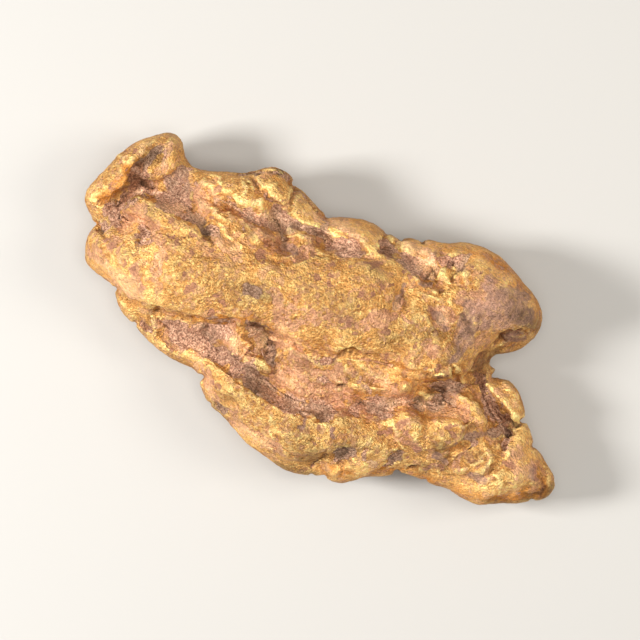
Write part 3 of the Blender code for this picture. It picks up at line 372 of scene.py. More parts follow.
# The thin salmon film that lies over gold, mostly round the earth.
SALMON = {
    "flap tail": [(-6.5, 0.3, 0.8, 0.16), (-6.2, 0.2, 0.6, 0.2), (-6.45, -0.1, 0.7, 0.2)],
    "ear": [(-6.38, 2.2, 0.8, 0.1), (-6.3, 1.7, 0.9, 0.12), (-6.15, 1.2, 0.5, 0.16)],
    "brow end": [(-5.1, 1.45, 0.9, 0.22), (-4.9, 1.25, 1, 0.22), (-4.65, 1.1, 0.7, 0.16)],
    "brow": [
        (-6.15, 0.3, 0.5, 0.2), (-5.95, 0.08, 0.9, 0.16), (-5.5, 0.08, 0.8, 0.1), (-5, 0.05, 0.5, 0.1),
    ],
    "tongue": [
        (-4.4, 1.1, 0.6, 0.14), (-3.9, 0.6, 0.8, 0.16), (-3.55, 0.5, 0.9, 0.16), (-3.2, 0.42, 0.6, 0.14),
    ],
    "tongue cap": [(-4.4, 1.46, 0.6, 0.08), (-3.9, 1.4, 0.7, 0.08)],
    "left lobe": [(-6.95, -0.95, 0.5, 0.2), (-6.5, -0.78, 0.8, 0.26), (-6.2, -1.05, 0.6, 0.2)],
    "middle": [
        (-0.8, -1.15, 0.55, 0.26), (0, -1.35, 0.52, 0.34), (0.8, -1.15, 0.5, 0.36),
        (1.4, -0.8, 0.5, 0.36), (2, -0.6, 0.5, 0.24),
    ],
    "middle foot": [
        (-0.6, -1.95, 0.8, 0.3), (0.2, -1.85, 0.9, 0.36), (1, -1.7, 0.8, 0.3), (1.55, -1.85, 0.8, 0.2),
    ],
    "left hollow": [
        (-4.2, -2.35, 0.8, 0.24), (-3.4, -2.45, 0.9, 0.34), (-2.6, -2.3, 0.8, 0.34),
        (-1.9, -1.95, 0.7, 0.24),
    ],
    "islands": [(-2.4, -1.3, 0.8, 0.16), (-2.05, -1.9, 0.7, 0.2), (-1.3, -1.66, 0.6, 0.1)],
    "lower rim": [
        (-1.1, -3.62, 0.7, 0.14), (-0.6, -3.72, 0.9, 0.12), (-0.1, -3.62, 0.9, 0.1),
        (0.6, -3.8, 0.6, 0.14),
    ],
    "lobe b": [(-2.1, 2.62, 0.5, 0.14), (-1.75, 2.4, 0.5, 0.14)],
    "lobe c": [(-1.42, 2.6, 0.9, 0.2), (-1, 2.7, 0.9, 0.22), (-0.6, 2.55, 0.6, 0.16)],
    "upper right ridge": [(0.7, 3.05, 0.6, 0.2), (1.2, 3.15, 0.9, 0.16), (1.6, 3.3, 0.8, 0.16)],
    "block": [(2.3, 1.9, 0.8, 0.2), (2.75, 1.95, 0.8, 0.2), (2.6, 0.8, 0.5, 0.2)],
    "pale stain": [(2.8, 0.92, 1, 0.14)],
    "hump end": [(0.9, 0.8, 0.8, 0.22), (1.2, 0.95, 0.6, 0.18), (0.4, 0.5, 0.5, 0.18)],
    "shoulder": [(2.85, 2.6, 0.6, 0.24), (3.3, 2.7, 0.9, 0.4), (3.4, 3.2, 0.8, 0.36)],
    "crescent": [(5, 0.78, 0.6, 0.12), (5.5, 0.58, 0.5, 0.12)],
    "toe": [(6.4, -0.45, 0.6, 0.2), (6.6, -0.8, 0.5, 0.3), (6.6, -1.25, 0.4, 0.3)],
    "toe plate": [(6.95, -0.6, 1, 0.22), (7.2, -0.85, 0.9, 0.2)],
    "right tongue": [(4.15, 0.08, 0.7, 0.12), (4.4, 0.05, 0.6, 0.12)],
    "right mass": [(3.2, -1.3, 0.7, 0.16), (3.85, -1.78, 1, 0.16)],
    "lower": [(4.6, -1.9, 0.9, 0.12), (4.4, -2.1, 0.7, 0.12)],
    "under hump": [(-0.6, 0.1, 0.7, 0.14), (-1.2, 0, 0.8, 0.14), (-1.6, -0.45, 0.6, 0.12)],
    "left lobe pink": [
        (-6.4, -0.45, 1, 0.22), (-6.35, -0.15, 0.9, 0.2), (-5.6, 0.05, 1, 0.2), (-5.15, -0.5, 0.85, 0.2),
        (-5.05, -0.8, 1, 0.22), (-4.8, -1.2, 0.7, 0.2),
    ],
    "left lobe low pink": [
        (-6.85, -1.5, 0.8, 0.22), (-6.2, -1.7, 0.7, 0.14), (-5.2, -1.85, 1, 0.26),
        (-5.45, -1.25, 0.7, 0.12),
    ],
    "hump pink": [
        (-1.75, 0.05, 0.8, 0.16), (-1.35, -0.2, 0.95, 0.22), (-1.1, -0.75, 0.8, 0.2),
        (-0.2, 0.25, 0.65, 0.14), (0.95, 0.6, 0.8, 0.2),
    ],
    "pan side": [(-2, 1.12, 0.8, 0.14), (-1.72, 1.15, 0.7, 0.12)],
    "middle pink": [
        (-1.2, -0.98, 0.95, 0.16), (-0.45, -0.9, 0.95, 0.16), (-0.3, -1.45, 0.9, 0.22),
        (0.3, -1.9, 0.95, 0.24), (0.75, -1.6, 0.9, 0.22), (1.4, -1.35, 1, 0.2), (2.3, -1.65, 0.9, 0.2),
    ],
    "foot pink": [
        (2.25, -0.75, 1, 0.2), (3.05, -0.72, 1, 0.24), (3.7, -0.62, 0.9, 0.2), (4.45, -0.2, 0.8, 0.16),
    ],
    "neck pink": [(3.85, 2.1, 0.85, 0.18), (3.95, 1.75, 0.75, 0.16)],
    "fold pink": [(5, -1.25, 0.7, 0.1), (5.12, -1.6, 0.8, 0.14)],
    "valley pink": [
        (-4.6, 1.6, 0.8, 0.16), (-4.1, 1.55, 0.9, 0.16), (-1.85, 1.1, 0.9, 0.16),
        (-1.45, 1.85, 0.8, 0.16), (-2.3, 1.65, 0.7, 0.14),
    ],
    "block pink": [(1.1, 0.75, 0.9, 0.2), (1.6, 1.3, 0.6, 0.12), (2.2, 1.1, 0.8, 0.16)],
    "lower ridge fold pink": [(-2.2, -3, 0.8, 0.18), (-2, -3.3, 0.8, 0.18), (-0.25, -3.75, 0.7, 0.12)],
}

# The smooth plum-brown film of the shoulder. It also darkens the earth where it crosses it.
PLUM = {
    "shoulder": [
        (3.35, 2.55, 0.7, 0.36), (3.8, 2.72, 1, 0.5), (4.35, 2.95, 1, 0.46), (4.7, 3.1, 0.9, 0.28),
    ],
    "shoulder top": [(3.35, 3.2, 0.6, 0.32), (3.9, 3.35, 0.8, 0.24), (4.35, 3.52, 0.9, 0.18)],
    "shoulder skirt": [
        (3.1, 2.5, 0.8, 0.16), (3.16, 2.2, 0.9, 0.17), (3.32, 1.9, 1, 0.23), (3.47, 1.55, 1, 0.24),
        (3.5, 1.2, 1, 0.19), (3.42, 0.9, 0.7, 0.12),
    ],
    "shoulder lip": [(4.6, 2.25, 0.9, 0.18), (4.9, 2.45, 0.8, 0.16)],
    "arm": [(2.35, 3.2, 0.9, 0.1), (2.45, 3.8, 0.7, 0.08)],
    "upper left": [(-5.95, 1.3, 0.7, 0.16), (-5.75, 1.78, 0.9, 0.1), (-5.3, 1.35, 0.5, 0.2)],
    "flap": [(-6.62, 2.02, 0.8, 0.08), (-6.66, 1.62, 1, 0.14), (-6.76, 1.3, 1, 0.11)],
    "brow valley": [(-4.8, 0.78, 0.8, 0.12), (-4.35, 0.64, 1, 0.12), (-4.05, 0.7, 0.6, 0.12)],
    "valley": [
        (-2.9, 1.85, 0.9, 0.26), (-2.45, 1.8, 1, 0.28), (-1.95, 2.08, 0.8, 0.12), (-1.5, 2.15, 0.7, 0.12),
    ],
    "valley front": [(-4.2, 1.62, 0.6, 0.14), (-3.5, 1.6, 0.6, 0.14)],
    "round pit": [(-2.2, 1.42, 0.9, 0.16), (-1.95, 1.38, 0.9, 0.2), (-1.75, 1.45, 0.7, 0.12)],
    "hump stain": [(-2.5, -0.22, 1, 0.18), (-2.2, -0.2, 1, 0.14)],
    "lower cavity": [(-0.45, -2.45, 1, 0.2), (-0.95, -2.35, 1, 0.26), (-1.38, -2.18, 1, 0.16)],
    "deep notch": [(0.1, -2.35, 0.8, 0.18), (1.1, -2.15, 1, 0.18)],
    "right valley": [(2.7, -0.95, 0.8, 0.16), (2.2, -1.4, 0.9, 0.22)],
    "dark hollow": [
        (3.45, 0.1, 1, 0.22), (3.9, 0.2, 1, 0.26), (3.9, -0.2, 1, 0.24), (3.3, -0.65, 1, 0.22),
    ],
    "cavern": [(-1.6, -1.05, 0.8, 0.14), (-1.1, -1.3, 0.9, 0.18), (-0.98, -1.65, 0.9, 0.1)],
    "left hollow": [(-2.95, -1.85, 1, 0.14), (-2.6, -1.8, 0.6, 0.1)],
    "toe": [(5.6, 0.15, 0.6, 0.16), (5.6, -0.2, 0.8, 0.14), (4.98, -0.78, 0.8, 0.12)],
    "knob furrow": [(2.3, -2.7, 0.8, 0.1), (2.08, -2.95, 1, 0.1)],
    "bead furrow": [(3.52, -2, 0.8, 0.08), (3.45, -2.4, 0.8, 0.08)],
    "lip": [(-1.6, -3.42, 0.9, 0.1), (-1.38, -3.52, 0.9, 0.1)],
    "ledge": [(-4.05, 2.7, 0.9, 0.08), (-3.78, 2.92, 0.6, 0.07)],
    "shoulder foot": [(3.3, 2.42, 0.9, 0.24), (3.65, 2.32, 1, 0.28)],
    "block furrow": [(1.24, 2.06, 0.9, 0.1), (1.32, 1.75, 0.9, 0.11), (1.42, 1.45, 1, 0.13)],
    "block band": [(2.32, 1.84, 0.6, 0.08), (2.62, 1.76, 0.65, 0.08), (2.86, 1.62, 0.5, 0.06)],
    "toe fold": [(5.62, -1.56, 0.9, 0.1), (5.92, -1.52, 0.9, 0.1)],
    "lump foot": [(4.4, -1.6, 0.8, 0.09), (4.75, -1.66, 0.9, 0.1)],
    "toe plate": [(6.95, -0.62, 0.7, 0.16), (7.15, -0.88, 0.6, 0.15)],
    "block corner": [(1.55, 2.4, 0.8, 0.1), (1.8, 2.38, 0.7, 0.08)],
    "ridge stains": [(0.68, -2.42, 0.9, 0.07), (0.74, -2.8, 0.9, 0.08)],
    "ridge oval": [(1.5, -2.45, 0.8, 0.06), (1.66, -2.68, 0.9, 0.06)],
    "middle": [(0.02, -1.62, 0.55, 0.12), (0.32, -1.74, 0.5, 0.1)],
}

# Painted shade: gold in shelter and along the rims coloured a deeper amber.
AMBER = {
    "flap inside": [
        (-7.02, 1.3, 0.7, 0.12), (-7.05, 0.75, 1, 0.16), (-7.12, 0.25, 1, 0.2), (-7.3, -0.1, 0.8, 0.16),
    ],
    "ear": [(-6.5, 1.25, 0.5, 0.14), (-6.25, 1.45, 0.4, 0.12)],
    "amber pan": [(-2.65, 1.15, 0.6, 0.18), (-2.35, 1.02, 0.7, 0.16), (-2, 0.98, 0.5, 0.1)],
    "block side": [(-3.2, 1.3, 0.5, 0.16), (-2.9, 1.3, 0.5, 0.16)],
    "right tongue": [(4.95, -0.1, 0.5, 0.14), (5.2, -0.35, 0.7, 0.16), (5.42, -0.52, 0.6, 0.12)],
    "hump foot": [
        (-3.6, -1.72, 0.6, 0.1), (-2.9, -1.5, 0.8, 0.12), (-2.3, -1.1, 1, 0.14), (-2.1, -0.85, 0.9, 0.16),
    ],
    "hump foot right": [(2.4, 0.05, 0.5, 0.1), (3.1, 0.25, 0.6, 0.12), (3.15, 0, 0.6, 0.1)],
    "right lump": [(4.25, -0.85, 0.4, 0.18), (4.15, -1.2, 0.4, 0.14)],
    "upper rim": [
        (-3.9, 2.75, 0.4, 0.2), (-3, 3.05, 0.5, 0.16), (-1.7, 2.6, 0.5, 0.16), (-0.5, 3.05, 0.4, 0.14),
        (0.9, 3.3, 0.35, 0.16), (1.6, 3.45, 0.5, 0.16), (2.1, 3.75, 0.45, 0.2), (3.4, 4, 0.6, 0.22),
        (4.6, 3.65, 0.6, 0.25), (5.12, 2.9, 0.6, 0.22),
    ],
    "lower rim": [
        (2, -3.55, 0.6, 0.25), (2.9, -3.2, 0.6, 0.25), (3.5, -2.7, 0.6, 0.2), (4.6, -2.3, 0.6, 0.2),
        (5.8, -2.15, 0.6, 0.2), (6.8, -1.75, 0.7, 0.28), (7.6, -1, 0.7, 0.25), (7.1, -0.3, 0.5, 0.2),
    ],
    "toe": [(6.6, -1.4, 0.2, 0.2), (7.1, -1.2, 0.3, 0.2)],
    "red nook": [(-7, 1.5, 0.5, 0.1), (-6.9, 1.15, 0.8, 0.16), (-6.6, 1, 0.5, 0.12)],
}

# The brown of the neck, where the film has pooled.
BROWN = {
    "neck": [
        (4.22, 1.55, 0.9, 0.14), (4.25, 1.2, 1, 0.2), (4.4, 0.85, 0.8, 0.16), (4.65, 0.62, 0.5, 0.1),
    ],
    "lip line": [(4.18, 1.95, 0.9, 0.07), (4.45, 2.35, 0.9, 0.06), (4.8, 2.58, 0.8, 0.05)],
    "lip recess": [(4.55, 1.98, 0.6, 0.1), (4.8, 2.2, 0.5, 0.1)],
    "red nook": [(-6.8, 0.98, 0.8, 0.1), (-6.5, 0.95, 1, 0.13), (-6.25, 0.88, 0.9, 0.1)],
    "flap valley": [
        (-6.84, 0.85, 0.7, 0.1), (-6.74, 0.6, 0.9, 0.13), (-6.74, 0.25, 0.9, 0.14),
        (-6.82, -0.05, 0.8, 0.13), (-7.05, -0.22, 0.7, 0.1),
    ],
    "cavern": [(-1.95, -0.96, 0.9, 0.07), (-1.45, -0.95, 0.9, 0.07), (-1.05, -1.15, 0.6, 0.07)],
    "crescent inside": [(5.05, 0.42, 0.6, 0.07), (5.5, 0.25, 0.8, 0.08), (5.8, 0.12, 0.7, 0.08)],
    "slit side": [(5.78, -0.22, 0.9, 0.07), (5.84, -0.45, 0.8, 0.07)],
    "rim pocket": [(-4.58, -2.5, 0.9, 0.1), (-4.35, -2.62, 0.8, 0.06)],
    "dark hollow": [(4, 0.48, 0.8, 0.08), (4.25, 0.4, 0.7, 0.08)],
    "left edge": [(-6.75, 0.62, 0.5, 0.1), (-6.6, 0.5, 0.5, 0.08)],
    "brow": [(-4.3, 0.38, 0.6, 0.07), (-4.02, 0.5, 0.6, 0.06)],
    "pan edge": [
        (-2.72, 1.1, 0.6, 0.05), (-2.4, 1.3, 0.8, 0.05), (-2.2, 1.15, 0.8, 0.05),
        (-1.95, 1.12, 0.6, 0.05),
    ],
    "toe rim": [(7.35, -0.6, 0.6, 0.05), (7.57, -0.86, 0.9, 0.05), (7.52, -1.1, 0.8, 0.05)],
    "upper gap": [(0.05, 2.6, 0.6, 0.08), (0.35, 2.62, 0.7, 0.08), (0.7, 2.55, 0.5, 0.06)],
    "middle stain": [(0.68, -0.6, 0.8, 0.05), (0.58, -0.84, 0.7, 0.07)],
    "flap strip": [(-6.7, 1.6, 0.5, 0.09), (-6.8, 1.25, 0.8, 0.09)],
}

# Painted shadow: cracks, pits and nooks coloured nearly black where shade falls, and a few dark marks.
DARK = {
    "flap notch": [(-7.15, -0.73, 1, 0.05), (-6.95, -0.76, 0.9, 0.05), (-6.8, -0.88, 0.8, 0.05)],
    "red nook": [(-6.72, 1, 0.5, 0.04), (-6.55, 0.95, 0.9, 0.05), (-6.38, 0.93, 0.7, 0.04)],
    "flap pit": [(-6.94, 0.67, 1, 0.045)],
    "brow valley": [(-4.52, 0.76, 0.7, 0.05), (-4.3, 0.62, 0.8, 0.06), (-3.98, 0.52, 0.5, 0.04)],
    "round pit": [(-2.18, 1.38, 0.7, 0.05)],
    "cavern edge": [(-1.9, -0.96, 0.6, 0.05), (-1.5, -0.92, 0.6, 0.05), (-1.15, -1.02, 0.5, 0.05)],
    "cavern side": [(-0.98, -1.25, 0.5, 0.05), (-0.92, -1.6, 0.6, 0.05)],
    "dark hollow": [
        (3.38, 0.1, 0.8, 0.07), (3.46, -0.1, 0.9, 0.07), (3.7, 0.22, 0.7, 0.06), (3.12, -0.62, 0.5, 0.05),
    ],
    "pinhole": [(5.87, -0.05, 1, 0.07)],
    "slit": [(6.08, 0.36, 1, 0.05), (5.93, 0.2, 1, 0.05)],
    "little slit": [(1.1, -1.34, 1, 0.05), (1.2, -1.26, 1, 0.05)],
    "lower cavity": [(-1.35, -2.28, 0.5, 0.05), (-0.8, -2.66, 0.6, 0.05), (-0.9, -2.4, 0.5, 0.05)],
    "deep notch": [(1.1, -2.26, 0.5, 0.09)],
    "left crack": [(-2.52, -2, 0.5, 0.04), (-2.46, -2.4, 0.6, 0.05)],
    "left spot": [(-3.55, -2.25, 0.6, 0.05)],
    "shoulder seam": [
        (3.05, 2.12, 0.7, 0.04), (3.25, 2.02, 0.6, 0.04), (3.45, 1.86, 0.8, 0.05), (3.58, 1.8, 0.5, 0.04),
    ],
    "small cracks": [(1.02, 1.47, 0.9, 0.04), (1.12, 1.55, 0.7, 0.03)],
    "block crack": [(2.64, 1.36, 0.6, 0.03), (2.6, 1.26, 0.6, 0.03)],
    "toe pit": [(6.17, -1.38, 0.8, 0.05)],
    "corner spot": [(2.22, 2.46, 0.9, 0.05)],
    "hollow spot": [(1.36, 3.1, 0.9, 0.05)],
    "knob streak": [(2.42, 3.22, 0.7, 0.05), (2.38, 3.06, 0.5, 0.05)],
    "middle stain": [(0.72, -0.6, 0.8, 0.03), (0.67, -0.84, 0.6, 0.03)],
}

# Painted light: the colour made brighter in these places, so that they look more lit: 1 is slight, 3
# strong.
PAINTED_LIGHT = {
    "upper right": [
        (0.64, 2.95, 2.2, 0.19), (1.1, 3.12, 1.2, 0.18), (1.7, 2.85, 2.2, 0.24), (1.85, 2.75, 2.2, 0.2),
    ],
    "valley right": [(-1.24, 2.17, 2.2, 0.18), (-0.7, 2.38, 0.7, 0.18)],
    "block top": [(2.6, 1.9, 1, 0.22), (2.64, 1.75, 1.2, 0.18)],
    "crescent": [(4.95, 0.95, 0.8, 0.15), (5.46, 0.82, 1.5, 0.25), (5.6, 0.6, 1.5, 0.2)],
    "toe": [
        (6.15, -0.6, 0.8, 0.2), (6.5, -0.3, 0.9, 0.22), (6.6, -0.6, 0.9, 0.26), (6.95, -0.95, 1.2, 0.25),
    ],
    "flap lip": [(-7.6, 0.1, 0.5, 0.16), (-7.55, -0.2, 0.6, 0.14)],
    "upper valley": [
        (-4.4, 1.66, 1.4, 0.22), (-3.37, 1.86, 1.9, 0.24), (-2.45, 1.75, 0.6, 0.26),
        (-2.4, 1.28, 1.4, 0.22),
    ],
    "upper left": [
        (-6, 1.55, 0.7, 0.14), (-6.1, 0.78, 0.6, 0.14), (-5.2, 0.8, 0.4, 0.16), (-4.5, 0.82, 0.8, 0.16),
    ],
    "flap inside": [(-7.1, 0.6, 0.8, 0.14), (-7.12, 0.25, 1, 0.16)],
    "tongue foot": [(-3.85, 0.85, 0.9, 0.2), (-3.42, 0.58, 1.8, 0.22), (-3, 0.65, 0.5, 0.2)],
    "ear": [(-6.1, 1.8, 0.8, 0.15), (-6.1, 1.5, 0.9, 0.15)],
    "left lobe": [(-5.98, -0.12, 1.5, 0.18), (-6.25, -0.58, 1.4, 0.2), (-4.9, -0.72, 0.9, 0.2)],
    "left hollow": [
        (-4, -2.3, 0.5, 0.2), (-3.2, -1.95, 0.9, 0.24), (-3, -2.3, 0.5, 0.26), (-2.66, -2.82, 1.7, 0.2),
    ],
    "cavern": [(-1.8, -1.3, 1.2, 0.2), (-1.6, -0.85, 1, 0.16), (-1.24, -1.55, 2.8, 0.18)],
    "lower cavity": [
        (-1.9, -2.4, 0.7, 0.2), (-0.9, -2.3, 0.9, 0.22), (-0.2, -2.25, 0.9, 0.24),
        (0.95, -2.2, 0.8, 0.22),
    ],
    "right valley": [(1.7, -1.06, 2.2, 0.18), (1.98, -1.25, 1, 0.2), (2.1, -1.65, 0.7, 0.2)],
    "hump foot right": [
        (2.1, 0.04, 1, 0.2), (2.15, -0.68, 1.3, 0.18), (2.75, -1.05, 1, 0.2), (3.15, -0.42, 1, 0.2),
        (3.75, -0.8, 1.6, 0.18), (4.1, 0.03, 1.4, 0.2), (4.2, 0.27, 0.8, 0.15),
    ],
    "crater knob": [(2.84, -3.1, 3, 0.2), (3.1, -2.55, 2, 0.15)],
    "block furrow": [(1.05, 2.15, 0.5, 0.2), (1.57, 1.38, 1.7, 0.18)],
    "shoulder": [(4.1, 2.22, 1, 0.18), (3.9, 1.45, 0.6, 0.14)],
    "rim": [(-5, 2, 0.8, 0.2), (-4.5, 2.15, 0.7, 0.22)],
    "upper right hollow": [(1.8, 2.62, 2.4, 0.18), (2.2, 2.78, 1, 0.15), (2.1, 3.02, 0.6, 0.12)],
    "lobe c": [(-1.42, 2.75, 2, 0.18), (-1.1, 2.78, 2, 0.18), (-0.5, 2.85, 1.2, 0.22)],
    "shoulder top": [
        (2.4, 3.6, 0.7, 0.22), (2.68, 3.78, 1.3, 0.2), (3, 3.68, 1, 0.22), (3.9, 3.55, 1, 0.2),
    ],
    "left lobe low": [
        (-6.5, -1.85, 1.4, 0.22), (-5.68, -1.65, 2, 0.3), (-5.1, -1.95, 1.2, 0.2),
        (-4.62, -1.76, 1.9, 0.28),
    ],
    "left lobe middle": [(-5.2, -0.7, 1, 0.36), (-5.3, -1.15, 0.7, 0.25), (-4.7, -1.4, 0.6, 0.24)],
    "middle": [(0.5, -0.42, 0.8, 0.2)],
    "middle low": [(-0.1, -2.22, 1.8, 0.18), (-0.1, -1.6, 0.7, 0.16)],
    "lip": [(-2.25, -3.1, 0.8, 0.14), (-1.92, -3.3, 1, 0.18)],
    "lower rim": [(-0.75, -3.75, 1.2, 0.16), (-0.05, -3.8, 1.8, 0.18), (0.25, -3.4, 1.6, 0.16)],
    "toe low": [
        (6.82, -1.42, 1.6, 0.24), (6.25, -1.65, 1.5, 0.24), (5.45, -1.95, 1.1, 0.24), (6, -2, 0.8, 0.2),
    ],
    "upper right ridge": [(0.95, 3.22, 0.9, 0.18), (1.4, 3.38, 0.6, 0.14)],
    "islands": [(-2.05, -1.62, 1.4, 0.24), (-1.82, -1.9, 1.2, 0.14)],
    "middle left": [(-1.45, -0.8, 1.2, 0.16), (-1, -0.75, 1.9, 0.18), (-0.5, -0.86, 1.4, 0.2)],
    "lobe a side": [(-3.85, 2.62, 0.5, 0.12), (-3.3, 2.95, 0.4, 0.14)],
    "lobe b": [(-3.8, 2.32, 0.7, 0.14), (-3.05, 2.52, 1, 0.16)],
    "dark hollow": [(2.78, 0.1, 2, 0.22), (3.05, 0, 1.2, 0.22)],
    "lump top": [(4.22, -0.56, 1.8, 0.16), (4.45, -0.34, 1.2, 0.16), (4.8, -0.3, 0.8, 0.12)],
    "slit lobe": [(6.1, 0.05, 1.2, 0.18), (6.45, 0.1, 0.5, 0.2)],
    "left lobe side": [(-3.25, -1.45, 0.8, 0.2)],
    "slit": [(5.86, 0.36, 2.6, 0.18)],
    "right mass": [(3.02, -1.07, 1.3, 0.18)],
    "blade": [(-4.12, -2.42, 2, 0.14)],
    "crater": [(2.3, -3.38, 1.5, 0.2)],
    "hump foot low": [(0.72, -0.22, 1, 0.14)],
    "right lump": [(4.78, -1.3, 1.2, 0.13)],
    "upper edge": [(-0.15, 2.8, 1.2, 0.16), (0.25, 2.2, 0.8, 0.16)],
    "lower rim left": [(-1.9, -3.28, 1.1, 0.12), (-1.22, -3.3, 1, 0.14)],
    "toe right": [(6.96, -1.5, 2.2, 0.2)],
    "left edge nook": [(-6.5, 0.6, 1.2, 0.13)],
    "ear rim": [(-7.1, 1.8, 0.9, 0.13)],
    "block left": [(-4.6, 1.25, 0.9, 0.16), (-4.9, 2.1, 1, 0.16)],
    "brow top": [(-6.2, 0.6, 0.9, 0.14), (-5.3, 0.68, 1.5, 0.18), (-4.6, 0.95, 0.8, 0.16)],
    "lobe b right": [(-2.1, 2.55, 1.5, 0.17), (-1.35, 2.3, 1, 0.2)],
    "hump crest": [(0.75, 2.2, 0.8, 0.16)],
    "bench": [(0.88, -1.24, 1.6, 0.16), (1.68, -1.22, 1.4, 0.2)],
    "hump foot left": [(-3.15, -1.75, 1.5, 0.18), (-3.25, -1.98, 1, 0.2)],
    "right tongue": [(4.25, 0.28, 1.8, 0.16), (4.45, 0.05, 1, 0.14)],
    "upper right recess": [(2.3, 3.1, 1.6, 0.14)],
    "hump foot mid": [(-0.55, -0.62, 1.2, 0.18), (-0.35, -0.6, 1, 0.18)],
}
